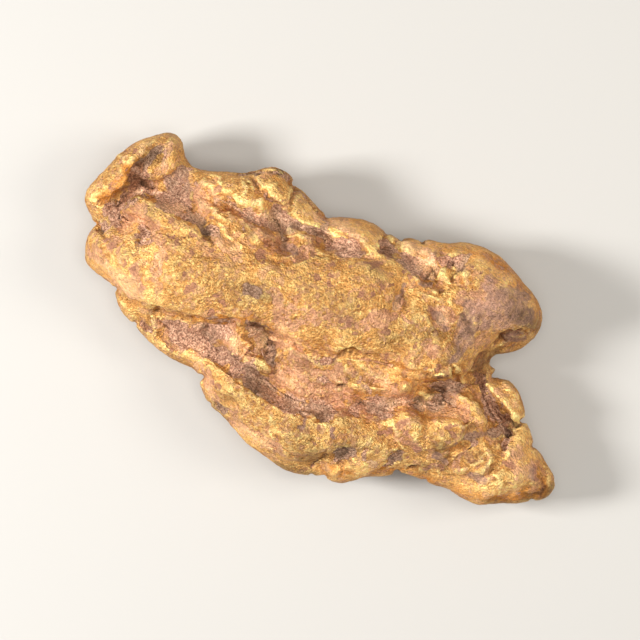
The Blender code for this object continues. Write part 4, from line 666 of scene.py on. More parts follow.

# Painted shade: the colour made darker in these places, so that they look less lit, and on a few stains,
# with amounts like those above.
PAINTED_SHADE = {
    "hump left": [
        (-3.9, -0.15, 0.5, 0.3), (-3.3, -0.25, 1, 0.34), (-2.62, -0.52, 1.5, 0.36),
        (-2.1, -0.62, 1, 0.26),
    ],
    "block side": [(-4, 1.28, 0.5, 0.15), (-3.65, 1.18, 1, 0.16), (-3.22, 1.15, 2.2, 0.18)],
    "hump middle": [
        (-1.5, 0.62, 0.7, 0.34), (-0.65, 0.62, 1, 0.34), (0.13, 0.7, 1.2, 0.34), (0.6, 0.15, 0.5, 0.26),
    ],
    "hump top": [(-0.1, 1.5, 0.5, 0.22), (0.25, 1.92, 0.8, 0.22), (0.5, 1.92, 1.2, 0.16)],
    "upper left": [(-5.95, 1.15, 1.5, 0.2), (-5.55, 1.2, 1.6, 0.22), (-5.3, 1.18, 1.2, 0.2)],
    "ear": [(-6.55, 2.25, 0.6, 0.12), (-6.6, 1.9, 1.4, 0.16), (-6.56, 1.64, 3.2, 0.18)],
    "brow": [(-5.95, 0.32, 1.3, 0.18), (-5.8, -0.85, 1, 0.14)],
    "left lobe": [(-4.25, -0.65, 0.9, 0.28)],
    "left hollow": [
        (-4.35, -2.48, 0.9, 0.18), (-3.6, -2.32, 1, 0.2), (-2.66, -1.9, 1.4, 0.2),
        (-2.15, -2.18, 1.2, 0.18), (-1.45, -2.3, 1.6, 0.18),
    ],
    "valley right": [(-1, 2.1, 0.6, 0.16), (-0.75, 2.15, 1, 0.2)],
    "lower ridge fold": [
        (-1.75, -3.55, 1.2, 0.2), (-1, -2.74, 0.9, 0.24), (-0.1, -3.12, 0.9, 0.28),
        (0.9, -2.98, 1.6, 0.36), (1.3, -3.15, 1.4, 0.26),
    ],
    "ridge foot": [(1.2, -3.55, 1, 0.26), (2, -2.95, 0.6, 0.2)],
    "lower ridge fold right": [(1.55, -2.15, 1, 0.24), (2.55, -2.25, 1, 0.24), (1.9, -2.8, 1.8, 0.22)],
    "right lump": [
        (4.1, -1.2, 0.9, 0.2), (4.34, -1.28, 2.4, 0.18), (4.7, -1.75, 0.8, 0.16), (4.5, -0.9, 0.6, 0.16),
        (4.8, -0.72, 0.9, 0.14),
    ],
    "lower right": [(4.28, -2.15, 1.5, 0.2), (4.62, -1.85, 0.9, 0.18), (5.42, -1.04, 1.6, 0.16)],
    "tongue": [(4.6, -0.05, 0.5, 0.15), (4.8, 0.1, 0.8, 0.18)],
    "shoulder": [
        (2.95, 3.1, 0.7, 0.2), (2.9, 2.3, 0.8, 0.2), (3.4, 1.9, 0.7, 0.18), (3.35, 1.45, 0.6, 0.15),
    ],
    "neck": [(4.45, 1.75, 1.9, 0.2), (4.4, 0.9, 0.8, 0.18), (4.6, 0.62, 0.9, 0.16)],
    "toe tip": [(6.35, -2.15, 0.9, 0.12), (7.35, -1.5, 2.2, 0.18), (7.76, -0.85, 2.2, 0.16)],
    "block": [
        (1.35, 1.8, 1, 0.16), (2.1, 1.2, 1, 0.2), (1.45, 0.45, 1.4, 0.2), (3.3, 1.75, 1.1, 0.18),
        (3.3, 1.05, 0.9, 0.18),
    ],
    "middle": [
        (-0.35, -1.2, 0.9, 0.3), (0.2, -1.3, 0.6, 0.22), (0.75, -0.9, 0.9, 0.26),
        (1.35, -1.38, 0.9, 0.18), (1.55, -0.88, 0.6, 0.2),
    ],
    "right valley": [(2.4, -1.38, 1.2, 0.2)],
    "block low": [(3.28, 0.85, 1.5, 0.18)],
    "shoulder end": [(4.32, 2.95, 1.6, 0.22), (5.1, 3, 1.6, 0.22)],
    "upper right ridge": [(2.1, 3.55, 0.7, 0.16)],
    "cavern": [(-1.17, -1.07, 2.8, 0.14)],
    "toe": [(6.45, -1.2, 0.8, 0.22)],
    "brow stain": [(-5.75, -0.32, 0.6, 0.18)],
    "flap": [(-7.45, 1, 0.6, 0.2), (-7.35, 0.6, 0.4, 0.2)],
    "brow foot": [(-4.7, -0.1, 0.6, 0.24), (-5.2, 0.1, 0.4, 0.2)],
    "hump right": [(1.6, 1.05, 0.8, 0.2), (1.9, 0.45, 0.8, 0.22), (2.2, 0.3, 0.5, 0.2)],
    "island b": [(-1.15, -1.85, 0.8, 0.14)],
    "flap strip": [(-6.78, 1.42, 1.6, 0.15)],
    "upper notch": [(-5.85, 1.85, 0.6, 0.15)],
    "hump stain": [
        (-2.7, -0.85, 0.7, 0.2), (-2.5, -0.22, 1.6, 0.22), (-2.1, -0.1, 2, 0.26), (-1.66, -0.04, 1, 0.16),
    ],
    "middle foot": [(-1, -2.12, 0.5, 0.15), (0.25, -2.15, 0.8, 0.15), (1.25, -2.1, 0.6, 0.2)],
    "lobe a": [(-3.5, 2.62, 0.8, 0.16), (-3.1, 2.62, 0.8, 0.14)],
    "flap valley": [(-6.78, 0.2, 1, 0.16), (-6.88, -0.55, 0.9, 0.18)],
    "lobe b foot": [(-2.6, 2.32, 1.5, 0.14)],
    "middle low": [(0.36, -1.45, 0.9, 0.18)],
    "left lobe low": [(-5.32, -1.3, 0.4, 0.18)],
    "left rim": [(-4.42, -2.7, 1, 0.14)],
    "cavern foot": [(-1.42, -2.34, 2.1, 0.16)],
    "bench": [(1.25, -0.92, 1.8, 0.16), (1.35, -0.6, 0.5, 0.14)],
    "lump top": [(3.74, -0.45, 1, 0.13), (4.36, 0.66, 1.3, 0.16)],
    "toe knob": [(6.25, -0.57, 1, 0.12)],
    "lower rims": [(-1.52, -3.74, 3, 0.14), (-1.2, -3.8, 2, 0.12)],
    "lower rims right": [(0.7, -4.08, 2.2, 0.1), (1.2, -4.02, 1.6, 0.1), (1.7, -3.88, 2, 0.12)],
    "upper valley foot": [(1, 2.5, 1, 0.14)],
    "upper valley spot": [(-4, 1.86, 0.9, 0.12), (-1.9, 1.1, 0.8, 0.12)],
    "hump foot": [(-2.25, -0.62, 1.2, 0.2), (-2.65, -0.95, 0.8, 0.2)],
    "upper rim left": [(-3.35, 3.18, 1.6, 0.12), (-3.6, 2.65, 1, 0.14)],
}

# Small mauve stains on the gold, as (x, y, half width).
STAINS = [
    (-7.2, 1.52, 0.08), (-7.42, 1.45, 0.06), (-7.08, 1.42, 0.05), (-7.06, 0.88, 0.05), (-4.62, 1.8, 0.11),
    (-4.35, 1.04, 0.08), (-5.3, 0.36, 0.1), (-4.6, 0.3, 0.07), (-3.9, 0.24, 0.1), (-4.2, 0.38, 0.07),
    (-2.62, 0.74, 0.09), (-2.44, 0.62, 0.08), (-2.66, 1.08, 0.05), (-1.74, 1.08, 0.08),
    (-1.36, 1.5, 0.06), (-1.02, 1.12, 0.1), (-0.92, 0.98, 0.09), (-1.4, 0.8, 0.05), (-0.58, 1.02, 0.07),
    (-0.6, 1.3, 0.06), (-0.66, 1.56, 0.08), (-0.28, 1.7, 0.07), (-1.55, 1.28, 0.06), (-0.8, 0.2, 0.07),
    (-3.62, 0.02, 0.1), (-3.3, -0.1, 0.06), (-5.02, -0.03, 0.1), (-4.8, -0.04, 0.08), (-4.25, -0.1, 0.06),
    (-6.36, -0.98, 0.12), (-6.62, -0.92, 0.08), (-6.86, -1.24, 0.06), (-5.5, -1.62, 0.12),
    (-5.46, -1.34, 0.08), (-5.8, -1.28, 0.07), (-6.02, -1.74, 0.07), (-5.1, -1.7, 0.08),
    (-4.66, -1.6, 0.08), (-3.84, -1.04, 0.1), (-3.74, -0.88, 0.07), (-3.04, -1.3, 0.08),
    (-2.9, -0.92, 0.1), (-3.1, -0.84, 0.07), (-4.2, -0.76, 0.06), (-4.8, -0.5, 0.06), (-2.5, -0.58, 0.07),
    (-1.86, -3, 0.1), (-2.06, -3.04, 0.07), (-0.56, -2.78, 0.06), (-3.56, -2.76, 0.08),
    (-2.66, -2.88, 0.08), (-1.16, 2.7, 0.06), (-0.86, 2.44, 0.07), (-0.66, 2.46, 0.06),
    (-2.92, 2.46, 0.06), (0.28, 2.1, 0.15), (0.08, 2.06, 0.1), (0.72, 1.8, 0.1), (0.92, 1.96, 0.05),
    (0.34, 1.3, 0.09), (0.58, 1.38, 0.07), (0.46, 0.94, 0.08), (1.52, 0.68, 0.1), (1.38, 0.6, 0.06),
    (0.46, 0.42, 0.1), (0.26, 0.3, 0.08), (2.96, 1, 0.05), (2.46, 1.82, 0.11), (2.22, 1.82, 0.07),
    (1.26, 2.34, 0.1), (3.88, 3.58, 0.09), (3.1, 3.6, 0.05), (3.42, 3.48, 0.1), (2.96, 3.44, 0.05),
    (2.74, 3.46, 0.05), (2.36, 0.74, 0.08), (3.26, 0.6, 0.1), (2.92, 0.34, 0.06), (1.8, 0.14, 0.07),
    (2.04, 0.1, 0.07), (0.78, 0.26, 0.06), (6.22, -0.78, 0.07), (6.4, -0.78, 0.08), (6.52, -0.8, 0.06),
    (6.7, -1.26, 0.07), (7.02, -0.6, 0.16), (7.22, -0.78, 0.1), (4.46, -0.58, 0.07), (4.34, -0.76, 0.09),
    (4.54, -0.86, 0.07), (3.4, -1.42, 0.08), (3.12, -1.24, 0.08), (2.9, -1.66, 0.07), (2.76, -1.84, 0.07),
    (3.86, -1.76, 0.12), (4.7, -1.88, 0.09), (4.46, -2.08, 0.09), (3.72, -2.02, 0.07),
    (1.54, -2.44, 0.08), (1.64, -2.64, 0.09), (0.68, -2.46, 0.07), (0.72, -2.7, 0.08),
    (0.74, -2.86, 0.06), (1.16, -2.6, 0.07), (1.3, -2.98, 0.05), (0.34, -3.4, 0.09), (0.22, -3.6, 0.09),
    (2.42, -0.56, 0.07), (0.12, -1.24, 0.06), (1.86, 3.42, 0.06), (0.98, 2.42, 0.07), (-7.22, 0.4, 0.08),
    (-6.1, 2.2, 0.06), (4.12, 3.66, 0.07),
]

# Where the gold is crumpled like foil rather than hammered smooth.
CRINKLED = {
    "middle": [(-0.7, -1.4, 0.8, 0.45), (0.4, -1.45, 1, 0.55), (1.5, -0.9, 0.9, 0.5)],
    "left lobe": [(-6.6, -1.2, 1, 0.5), (-5.5, -1.4, 1.2, 0.6), (-4.4, -1.1, 0.8, 0.6)],
    "hump middle": [(-3.3, -0.7, 0.6, 0.5), (-1.4, -0.2, 0.8, 0.5), (0.2, -0.3, 0.9, 0.5)],
    "block": [(1.8, 1.6, 0.8, 0.5), (2.4, 0.8, 0.8, 0.5)],
    "rim": [(-4.8, 1.8, 0.8, 0.4), (-3.9, 2, 1, 0.4)],
    "flap": [(-7.6, 0.4, 0.6, 0.25), (-7.35, -0.3, 0.6, 0.25)],
    "ridge": [(-2, -3.2, 0.8, 0.4), (-0.5, -3.1, 0.7, 0.4), (1.5, -3, 0.8, 0.5), (3.6, -2.2, 0.8, 0.5)],
    "right mass": [(3, -1.5, 0.9, 0.5), (4.6, -1.7, 0.8, 0.5), (6.2, -1.5, 0.9, 0.5)],
    "toe": [(6.4, -1.7, 0.8, 0.35), (6.95, -1.25, 0.9, 0.4), (7.3, -0.7, 0.8, 0.3)],
}

# Relief: noise of several sizes, as (size, height), that covers the skin.
GOLD_LUMPS = [(1.1, 0.05), (0.55, 0.03), (0.28, 0.014)]
GOLD_CREASES = [(0.6, 0.014), (0.3, 0.015), (0.15, 0.014)]
EARTH_GRAIN = [(0.4, 0.04), (0.2, 0.025), (0.1, 0.022)]
DEPTH_GRAIN = [(0.5, 1.6)]  # how uneven the creases' depths are
BORDER_GRAIN = [(0.6, 0.7), (0.28, 0.7), (0.13, 0.5)]  # how ragged a coat's border is
WANDER_GRAIN = [(0.6, 0.1), (0.25, 0.1), (0.12, 0.06)]  # how far the strokes stray

WANDER_SEEDS = (3, 8)
BORDER_SEED = 5
LUMP_SEED = 11
EARTH_SEED = 17
DEPTH_SEED = 23
CREASE_SEED = 29

CREASE_DEPTH = 0.65  # share of the creases' written depths that the skin takes
EARTH_SINK = 0.03  # how far the gold stands proud of the earth beside it
CRINKLE_LEAST = 0.35  # share of the fine creases that the smoothest gold has
CRINKLE_BELOW = 0.45  # what is added to it on the lower sides and underneath

# Rounds of smoothing: the skin is compared with its smoothed self to find edges and hollows.
EDGE_ROUNDS = 5
HOLLOW_ROUNDS = 46
VALLEY_ROUNDS = 185
WORN_AND_LIT_EDGE = 0.03  # how far an edge stands out to take the full paler colour, of wear and painted highlight
DEEPEST_VALLEY = 0.6  # the most that a broad hollow is filled up

# Coats: how much each border is frayed, and what the hidden places get without a stroke.
EARTH_FRAY = 0.5
SALMON_FRAY = 0.6
PLUM_FRAY = 0.4
AMBER_FRAY = 0.3
BROWN_FRAY = 0.3
STAIN_FRAY = 0.35
SHELTER_FILM = 0.75
# How much painted shade darkens the steep rims.
RIM_SHADE = 0.9

COLOURS = {
    "gold": "DEA660",
    "duller gold": "C88C4C",
    "painted glint": "FFDC8C",
    "gold shade": "A27040",
    "worn edge and highlight": "FFE096",
    "crease": "AA7C50",
    "amber": "C0772C",
    "film": "A8765E",
    "pale film": "E0A888",
    "mottled film": "A6755E",
    "stain": "9C6A55",
    "plum film": "B68C78",
    "plum streak": "866556",
    "earth": "9E705A",
    "pale earth": "E4B496",
    "clod": "9C6C56",
    "earth pit": "6E4232",
    "pale grain": "F2C8A6",
    "dark grain": "4A362E",
    "dim earth": "8A6650",
    "pale dim earth": "C49E84",
    "rust": "5E3422",
    "pale rust": "9E6440",
    "painted shadow and speck": "2A1A14",
    "painted sheen": "F8D48E",
    "reflection": "FFE6BE",
}

# View: straight down, turned so that the nugget lies aslant from upper left to lower right.
VIEW_TURN = math.radians(30)
VIEW_CENTRE = (-0.296, 0.052, 1.7)
FIELD = 640 / 35.2  # the picture's width, which is 640 pixels at 35.2 to the millimetre
LENS = 200
SENSOR = 36

FLOOR_SIDE = 1200
FLOOR_COLOUR = (0.50, 0.49, 0.475, 1.0)
STUDIO_COLOUR = (1.0, 0.97, 0.93, 1.0)
STUDIO_STRENGTH = 0.25


def points_of(mesh):
    points = np.empty(len(mesh.vertices) * 3)
    mesh.vertices.foreach_get("co", points)
    return points.reshape(-1, 3)


def set_points(mesh, points):
    mesh.vertices.foreach_set("co", np.ascontiguousarray(points).ravel())
    mesh.update()


def normals_of(mesh):
    normals = np.empty(len(mesh.vertices) * 3)
    mesh.vertices.foreach_get("normal", normals)
    return normals.reshape(-1, 3)


def edges_of(mesh):
    edges = np.empty(len(mesh.edges) * 2, dtype=np.int64)
    mesh.edges.foreach_get("vertices", edges)
    return edges.reshape(-1, 2)


def evaluated_mesh(obj):
    bpy.context.view_layer.update()
    graph = bpy.context.evaluated_depsgraph_get()
    return bpy.data.meshes.new_from_object(obj.evaluated_get(graph))


def fine_skin():
    """The solid nugget's surface in millimetres, with its facets rounded off, as even squares."""
    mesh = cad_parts["nugget"].data.copy()
    set_points(mesh, points_of(mesh) / MM)
    skin = bpy.data.objects.new("nugget_surface", mesh)
    bpy.context.collection.objects.link(skin)
    skin.modifiers.new("join facets", "WELD").merge_threshold = 0.001
    rounded = skin.modifiers.new("round off", "SUBSURF")
    rounded.levels = rounded.render_levels = 2
    even = skin.modifiers.new("even net", "REMESH")
    even.mode = "VOXEL"
    even.voxel_size = SKIN_NET
    finished = evaluated_mesh(skin)
    skin.modifiers.clear()
    skin.data = finished
    return skin


def smooth_step(value, low, high):
    share = np.clip((value - low) / (high - low), 0, 1)
    return share * share * (3 - 2 * share)


def grain(points, layers, seed):
    """Noise of several sizes, each with its own height, at every point."""
    total = np.zeros(len(points))
    for place, (size, height) in enumerate(layers):
        shift = Vector((seed, 3.1 * seed, place))
        total += height * np.array([noise.noise(Vector(p) / size + shift) for p in points])
    return total


def wrinkles(points, layers, seed):
    """Like grain, but made of rounded lumps with a sharp crease wherever two of them meet."""
    total = np.zeros(len(points))
    for place, (size, height) in enumerate(layers):
        shift = Vector((seed, 2.7 * seed, place))
        lumps = np.array([noise.noise(Vector(p) / size + shift) for p in points])
        total += height * (np.minimum(np.abs(lumps) * 3, 1) - 0.6)
    return total


def spine_reach(plan, spine):
    """For the points near a spine: their indices, their distance in half widths, and the amount."""
    knots = [np.array(k, float) for k in (spine if len(spine) > 1 else spine * 2)]
    margin = 2.2 * max(k[3] for k in knots)
    low = np.min([k[:2] for k in knots], axis=0) - margin
    high = np.max([k[:2] for k in knots], axis=0) + margin
    near = np.flatnonzero(np.all((plan > low) & (plan < high), axis=1))
    reach = np.full(len(near), np.inf)
    amount = np.zeros(len(near))
    for start, end in zip(knots, knots[1:]):
        run = end[:2] - start[:2]
        share = np.clip((plan[near] - start[:2]) @ run / max(run @ run, 1e-9), 0, 1)
        here = start + share[:, None] * (end - start)
        far = np.linalg.norm(plan[near] - here[:, :2], axis=1) / here[:, 3]
        closer = far < reach
        reach[closer] = far[closer]
        amount[closer] = here[closer, 2]
    return near, reach, amount


def summed(plan, strokes):
    """All strokes added up, each full on its spine and gone at a reach of 2."""
    total = np.zeros(len(plan))
    for spine in strokes.values():
        near, reach, amount = spine_reach(plan, spine)
        total[near] += amount * np.clip(1 - (reach / 2) ** 2, 0, None) ** 2
    return total


def painted(plan, strokes):
    """The strongest coat at each point: full on the spine, half at a reach of 1, none at 2."""
    coat = np.zeros(len(plan))
    for spine in strokes.values():
        near, reach, amount = spine_reach(plan, spine)
        coat[near] = np.maximum(coat[near], amount * (1 - smooth_step(reach, 0.2, 1.8)))
    return coat


def as_spots(spots):
    """Single spots in the form that strokes have."""
    return {name: [spot] for name, spot in spots.items()}


def neighbour_mean(values, edges):
    count = np.bincount(edges.ravel(), minlength=len(values))
    total = np.zeros_like(values)
    for column in range(values.shape[1]):
        total[:, column] += np.bincount(edges[:, 0], values[edges[:, 1], column], len(values))
        total[:, column] += np.bincount(edges[:, 1], values[edges[:, 0], column], len(values))
    return total / count[:, None]


def standing_out(mesh, rounds):
    """How far each point stands out of its surroundings, less than 0 in a hollow."""
    points = points_of(mesh)
    edges = edges_of(mesh)
    smooth = points
    for _ in range(rounds):
        smooth = 0.5 * smooth + 0.5 * neighbour_mean(smooth, edges)
    return np.sum((points - smooth) * normals_of(mesh), axis=1)


def upper_share(mesh):
    """1 on the upper face, and 0 on the lower sides and underneath."""
    height = smooth_step(points_of(mesh)[:, 2], TOP_FROM, TOP_FROM + TOP_FADE)
    return height * smooth_step(normals_of(mesh)[:, 2], -0.2, 0.25)


def coats_of(mesh, plan, upper, valley):
    """How much of each coat lies at every point, with the borders frayed."""
    ragged = grain(points_of(mesh), BORDER_GRAIN, BORDER_SEED)
    steepness = normals_of(mesh)[:, 2]
    hollow = -standing_out(mesh, HOLLOW_ROUNDS)
    low_earth = (1 - upper) * smooth_step(hollow, 0.03, 0.10)
    earth = np.maximum(upper * painted(plan, EARTH), low_earth)
    shelter = smooth_step(valley, 0.05, 0.22)
    salmon = np.maximum(upper * painted(plan, SALMON), SHELTER_FILM * shelter)
    # The steep rims get painted shade: a deeper amber colour and a darker tone.
    rim = smooth_step(steepness, 0.40, 0.05) * smooth_step(steepness, -0.40, -0.05)
    rim_amber_shade = rim * (0.3 + 0.5 * smooth_step(ragged, -0.25, 0.25))
    amber = smooth_step(upper * painted(plan, AMBER) + AMBER_FRAY * ragged, 0.3, 0.8)
    brown = smooth_step(upper * painted(plan, BROWN) + BROWN_FRAY * ragged, 0.3, 0.8)
    stains = {place: [(x, y, 1, width)] for place, (x, y, width) in enumerate(STAINS)}
    return {
        "earth": earth + EARTH_FRAY * ragged,
        "salmon": salmon + SALMON_FRAY * ragged,
        "plum": upper * painted(plan, PLUM) + PLUM_FRAY * ragged,
        "amber": np.maximum(amber, rim_amber_shade),
        "brown": brown,
        "stain": upper * painted(plan, stains) + STAIN_FRAY * ragged,
        "dark": upper * painted(plan, DARK),
        # Painted light and shade from the strokes, less the painted shade of the steep rims.
        "painted_light_and_shade": upper * (painted(plan, PAINTED_LIGHT) - painted(plan, PAINTED_SHADE)) - RIM_SHADE * rim,
    }


def relief_of(mesh, plan, upper, valley, earth):
    """How far each point moves outwards for the folds, the fill of valleys, the pits and the grain."""
    points = points_of(mesh)
    depth = CREASE_DEPTH * (1 + grain(points, DEPTH_GRAIN, DEPTH_SEED))
    folds = summed(plan, ROLLS) - depth * summed(plan, CREASES)
    pits = summed(points[:, :2], as_spots(PITS))
    cuts = summed(points[:, :2], as_spots(RIM_CUTS))
    sheer = smooth_step(np.abs(normals_of(mesh)[:, 2]), 0.95, 0.6)
    crinkled = painted(plan, CRINKLED)
    creased = (1 - earth) * (CRINKLE_LEAST + np.maximum(crinkled, CRINKLE_BELOW * (1 - upper)))
    lumpy = (1 - 0.6 * earth) * (0.8 + 0.6 * crinkled)
    relief = upper * (folds - pits + valley) - sheer * cuts
    relief += lumpy * grain(points, GOLD_LUMPS, LUMP_SEED)
    relief += creased * wrinkles(points, GOLD_CREASES, CREASE_SEED)
    return relief + earth * (grain(points, EARTH_GRAIN, EARTH_SEED) - EARTH_SINK)


def add_layer(mesh, name, values):
    layer = mesh.attributes.new(name, "FLOAT", "POINT")
    layer.data.foreach_set("value", np.ascontiguousarray(values, dtype=np.float32))


def dress(skin):
    """Works the folds and the grain into the skin, and stores its coats."""
    mesh = skin.data
    points = points_of(mesh)
    upper = upper_share(mesh)
    points[:, 2] += upper * summed(points[:, :2], FILLS)
    set_points(mesh, points)

    stray = np.stack([grain(points, WANDER_GRAIN, seed) for seed in WANDER_SEEDS], axis=1)
    plan = points[:, :2] + stray
    valley = np.clip(-standing_out(mesh, VALLEY_ROUNDS), 0, DEEPEST_VALLEY)
    coats = coats_of(mesh, plan, upper, valley)
    earth = smooth_step(coats["earth"], 0.42, 0.62)
    relief = relief_of(mesh, plan, upper, valley, earth)
    points = points + relief[:, None] * normals_of(mesh)
    points[:, 2] = np.maximum(points[:, 2], 0)
    set_points(mesh, points)

    for name, coat in coats.items():
        add_layer(mesh, name, coat)
    # How far each point stands out: its edges take wear and painted highlight, its creases painted shade.
    add_layer(mesh, "edge", np.clip(standing_out(mesh, EDGE_ROUNDS) / WORN_AND_LIT_EDGE, -1, 1))


def new_material(name):
    material = bpy.data.materials.new(name)
    material.use_nodes = True
    tree = material.node_tree
    tree.nodes.clear()
    output = tree.nodes.new("ShaderNodeOutputMaterial")
    surface = tree.nodes.new("ShaderNodeBsdfPrincipled")
    tree.links.new(surface.outputs["BSDF"], output.inputs["Surface"])
    return material, tree, surface


def tint(name):
    """A named colour in Blender's linear values."""
    code = COLOURS[name]
    parts = [int(code[i : i + 2], 16) / 255 for i in (0, 2, 4)]
    return [p / 12.92 if p <= 0.04045 else ((p + 0.055) / 1.055) ** 2.4 for p in parts] + [1.0]


class Nodes:
    """Short names for the few kinds of node that the nugget's material is made of."""

    def __init__(self, tree):
        self.tree = tree
        self.place = tree.nodes.new("ShaderNodeTexCoord").outputs["Object"]

    def plug(self, socket, value):
        if isinstance(value, bpy.types.NodeSocket):
            self.tree.links.new(value, socket)
        else:
            socket.default_value = value

    def layer(self, name):
        """A coat that the skin stores at its points."""
        node = self.tree.nodes.new("ShaderNodeAttribute")
        node.attribute_name = name
        return node.outputs["Fac"]

    def noise(self, size, detail=2.0, roughness=0.5, stretch=(1, 1, 1)):
        """Noise between 0 and 1 whose lumps have this size in millimetres."""
        mapping = self.tree.nodes.new("ShaderNodeMapping")
        self.plug(mapping.inputs["Vector"], self.place)
        mapping.inputs["Scale"].default_value = [s / (size * MM) for s in stretch]
        node = self.tree.nodes.new("ShaderNodeTexNoise")
        self.plug(node.inputs["Vector"], mapping.outputs["Vector"])
        node.inputs["Scale"].default_value = 1.0
        node.inputs["Detail"].default_value = detail
        node.inputs["Roughness"].default_value = roughness
        return node.outputs["Fac"]

    def math(self, operation, a, b):
        node = self.tree.nodes.new("ShaderNodeMath")
        node.operation = operation
        self.plug(node.inputs[0], a)
        self.plug(node.inputs[1], b)
        return node.outputs[0]

    def times(self, a, b):
        return self.math("MULTIPLY", a, b)

    def most(self, first, *others):
        """The greatest of several values."""
        for other in others:
            first = self.math("MAXIMUM", first, other)
        return first

    def ramp(self, value, low, high, to_low=0.0, to_high=1.0):
        """Turns the values from low to high into values from to_low to to_high, and no farther."""
        node = self.tree.nodes.new("ShaderNodeMapRange")
        self.plug(node.inputs["Value"], value)
        limits = {"From Min": low, "From Max": high, "To Min": to_low, "To Max": to_high}
        for name, limit in limits.items():
            node.inputs[name].default_value = limit
        return node.outputs["Result"]

    def mix(self, share, a, b):
        node = self.tree.nodes.new("ShaderNodeMix")
        node.data_type = "RGBA"
        self.plug(node.inputs[0], share)
        self.plug(node.inputs[6], a)
        self.plug(node.inputs[7], b)
        return node.outputs[2]

    def mix_number(self, share, a, b):
        node = self.tree.nodes.new("ShaderNodeMix")
        node.data_type = "FLOAT"
        self.plug(node.inputs[0], share)
        self.plug(node.inputs[2], a)
        self.plug(node.inputs[3], b)
        return node.outputs[0]

    def brightened(self, colour, factor):
        node = self.tree.nodes.new("ShaderNodeVectorMath")
        node.operation = "SCALE"
        self.plug(node.inputs[0], colour)
        self.plug(node.inputs["Scale"], factor)
        return node.outputs[0]

    def bump(self, height, distance, normal=None):
        node = self.tree.nodes.new("ShaderNodeBump")
        node.inputs["Strength"].default_value = 1.0
        node.inputs["Distance"].default_value = distance * MM
        self.plug(node.inputs["Height"], height)
        if normal:
            self.plug(node.inputs["Normal"], normal)
        return node.outputs["Normal"]


def frayed_coats(n):
    """Each coat as a share from 0 to 1, with a fine fray along its border."""
    fray = n.math("SUBTRACT", n.noise(0.11, 3, 0.65), 0.5)
    borders = {
        "earth": (0.5, 0.47, 0.57),
        "salmon": (0.8, 0.43, 0.51),
        "plum": (0.6, 0.40, 0.66),
        "stain": (1.1, 0.47, 0.57),
    }
    coats = {name: n.layer(name) for name in ("amber", "brown", "dark", "edge", "painted_light_and_shade")}
    for name, (amount, low, high) in borders.items():
        coats[name] = n.ramp(n.math("ADD", n.layer(name), n.times(fray, amount)), low, high)
    blotches = n.ramp(n.noise(0.30, 4, 0.7), 0.53, 0.55, 0.0, 0.7)
    gaps = n.ramp(n.noise(0.14, 3, 0.6), 0.50, 0.64, 1.0, 0.42)
    coats["film"] = n.times(n.most(coats["salmon"], blotches), gaps)
    specks = n.ramp(n.noise(0.11, 2), 0.68, 0.76, 0.0, 0.6)
    coats["dark"] = n.most(n.times(coats["dark"], 0.9), specks)
    return coats


def clean_gold(n, coats, patches, flecks):
    """Gold in two shades, with painted glints and dark flecks, paler on edges by wear and painted
    highlight, with painted shade in creases and the amber painted shade of shelter.
    """
    gold = n.mix(n.ramp(patches, 0.35, 0.65), tint("gold"), tint("duller gold"))
    # Painted glints and painted shade: bright and dark flecks of one noise.
    gold = n.mix(n.ramp(flecks, 0.52, 0.70), gold, tint("painted glint"))
    gold = n.mix(n.ramp(flecks, 0.44, 0.32), gold, tint("gold shade"))
    # Edges that stand out are paler, partly wear and partly painted highlight; creases are darker, as
    # painted shade.
    gold = n.mix(n.ramp(coats["edge"], 0.0, 0.9), gold, tint("worn edge and highlight"))
    gold = n.mix(n.ramp(coats["edge"], 0.0, -1.0), gold, tint("crease"))
    # Painted shade: the deeper amber of sheltered gold and of the rims.
    return n.mix(n.times(coats["amber"], 0.85), gold, tint("amber"))


def with_films(n, colour, coats, flecks):
    """The gold with its salmon film, its small stains and the streaked plum film on it."""
    film = n.mix(n.ramp(flecks, 0.35, 0.65), tint("film"), tint("pale film"))
    film = n.mix(n.ramp(n.noise(0.36, 5, 0.7), 0.51, 0.58), film, tint("mottled film"))
    colour = n.mix(n.times(coats["film"], 0.82), colour, film)
    colour = n.mix(n.times(coats["stain"], 0.85), colour, tint("stain"))
    streaks = n.noise(0.18, 3, 0.6, (1.6, 0.35, 1))
    plum = n.mix(n.ramp(streaks, 0.35, 0.65), tint("plum film"), tint("plum streak"))
    worn = n.ramp(n.noise(0.16, 4, 0.7), 0.46, 0.60, 0.95, 0.65)
    return n.mix(n.times(coats["plum"], worn), colour, plum)


def packed_earth(n, coats, grains):
    """Grainy earth with clods, pits, and pale and dark grains in it, dimmer under the plum film."""
    earth = n.mix(n.ramp(grains, 0.41, 0.59), tint("earth"), tint("pale earth"))
    earth = n.mix(n.ramp(n.noise(0.24, 4, 0.65), 0.50, 0.66, 0.0, 0.6), earth, tint("clod"))
    earth = n.mix(n.ramp(n.noise(0.10, 3, 0.7), 0.58, 0.68, 0.0, 0.7), earth, tint("earth pit"))
    earth = n.mix(n.ramp(n.noise(0.05, 1), 0.64, 0.74, 0.0, 0.8), earth, tint("pale grain"))
    earth = n.mix(n.ramp(n.noise(0.055, 1), 0.70, 0.78), earth, tint("dark grain"))
    dim = n.mix(n.ramp(grains, 0.40, 0.60), tint("dim earth"), tint("pale dim earth"))
    return n.mix(n.times(coats["plum"], 0.85), earth, dim)


def with_painted_light(n, colour, painted_light_and_shade):
    """Painted light and shade: paler towards a painted sheen and brighter above 0, darker below 0; then
    fine random flecks.
    """
    # Painted sheen: where the painted light is strongest, the colour turns towards a pale yellow.
    colour = n.mix(n.ramp(painted_light_and_shade, 0.4, 2.0, 0.0, 0.30), colour, tint("painted sheen"))
    colour = n.brightened(colour, n.ramp(painted_light_and_shade, -2.0, 2.0, 0.54, 1.56))
    return n.brightened(colour, n.ramp(n.noise(0.055, 2, 0.6), 0.3, 0.7, 0.70, 1.27))


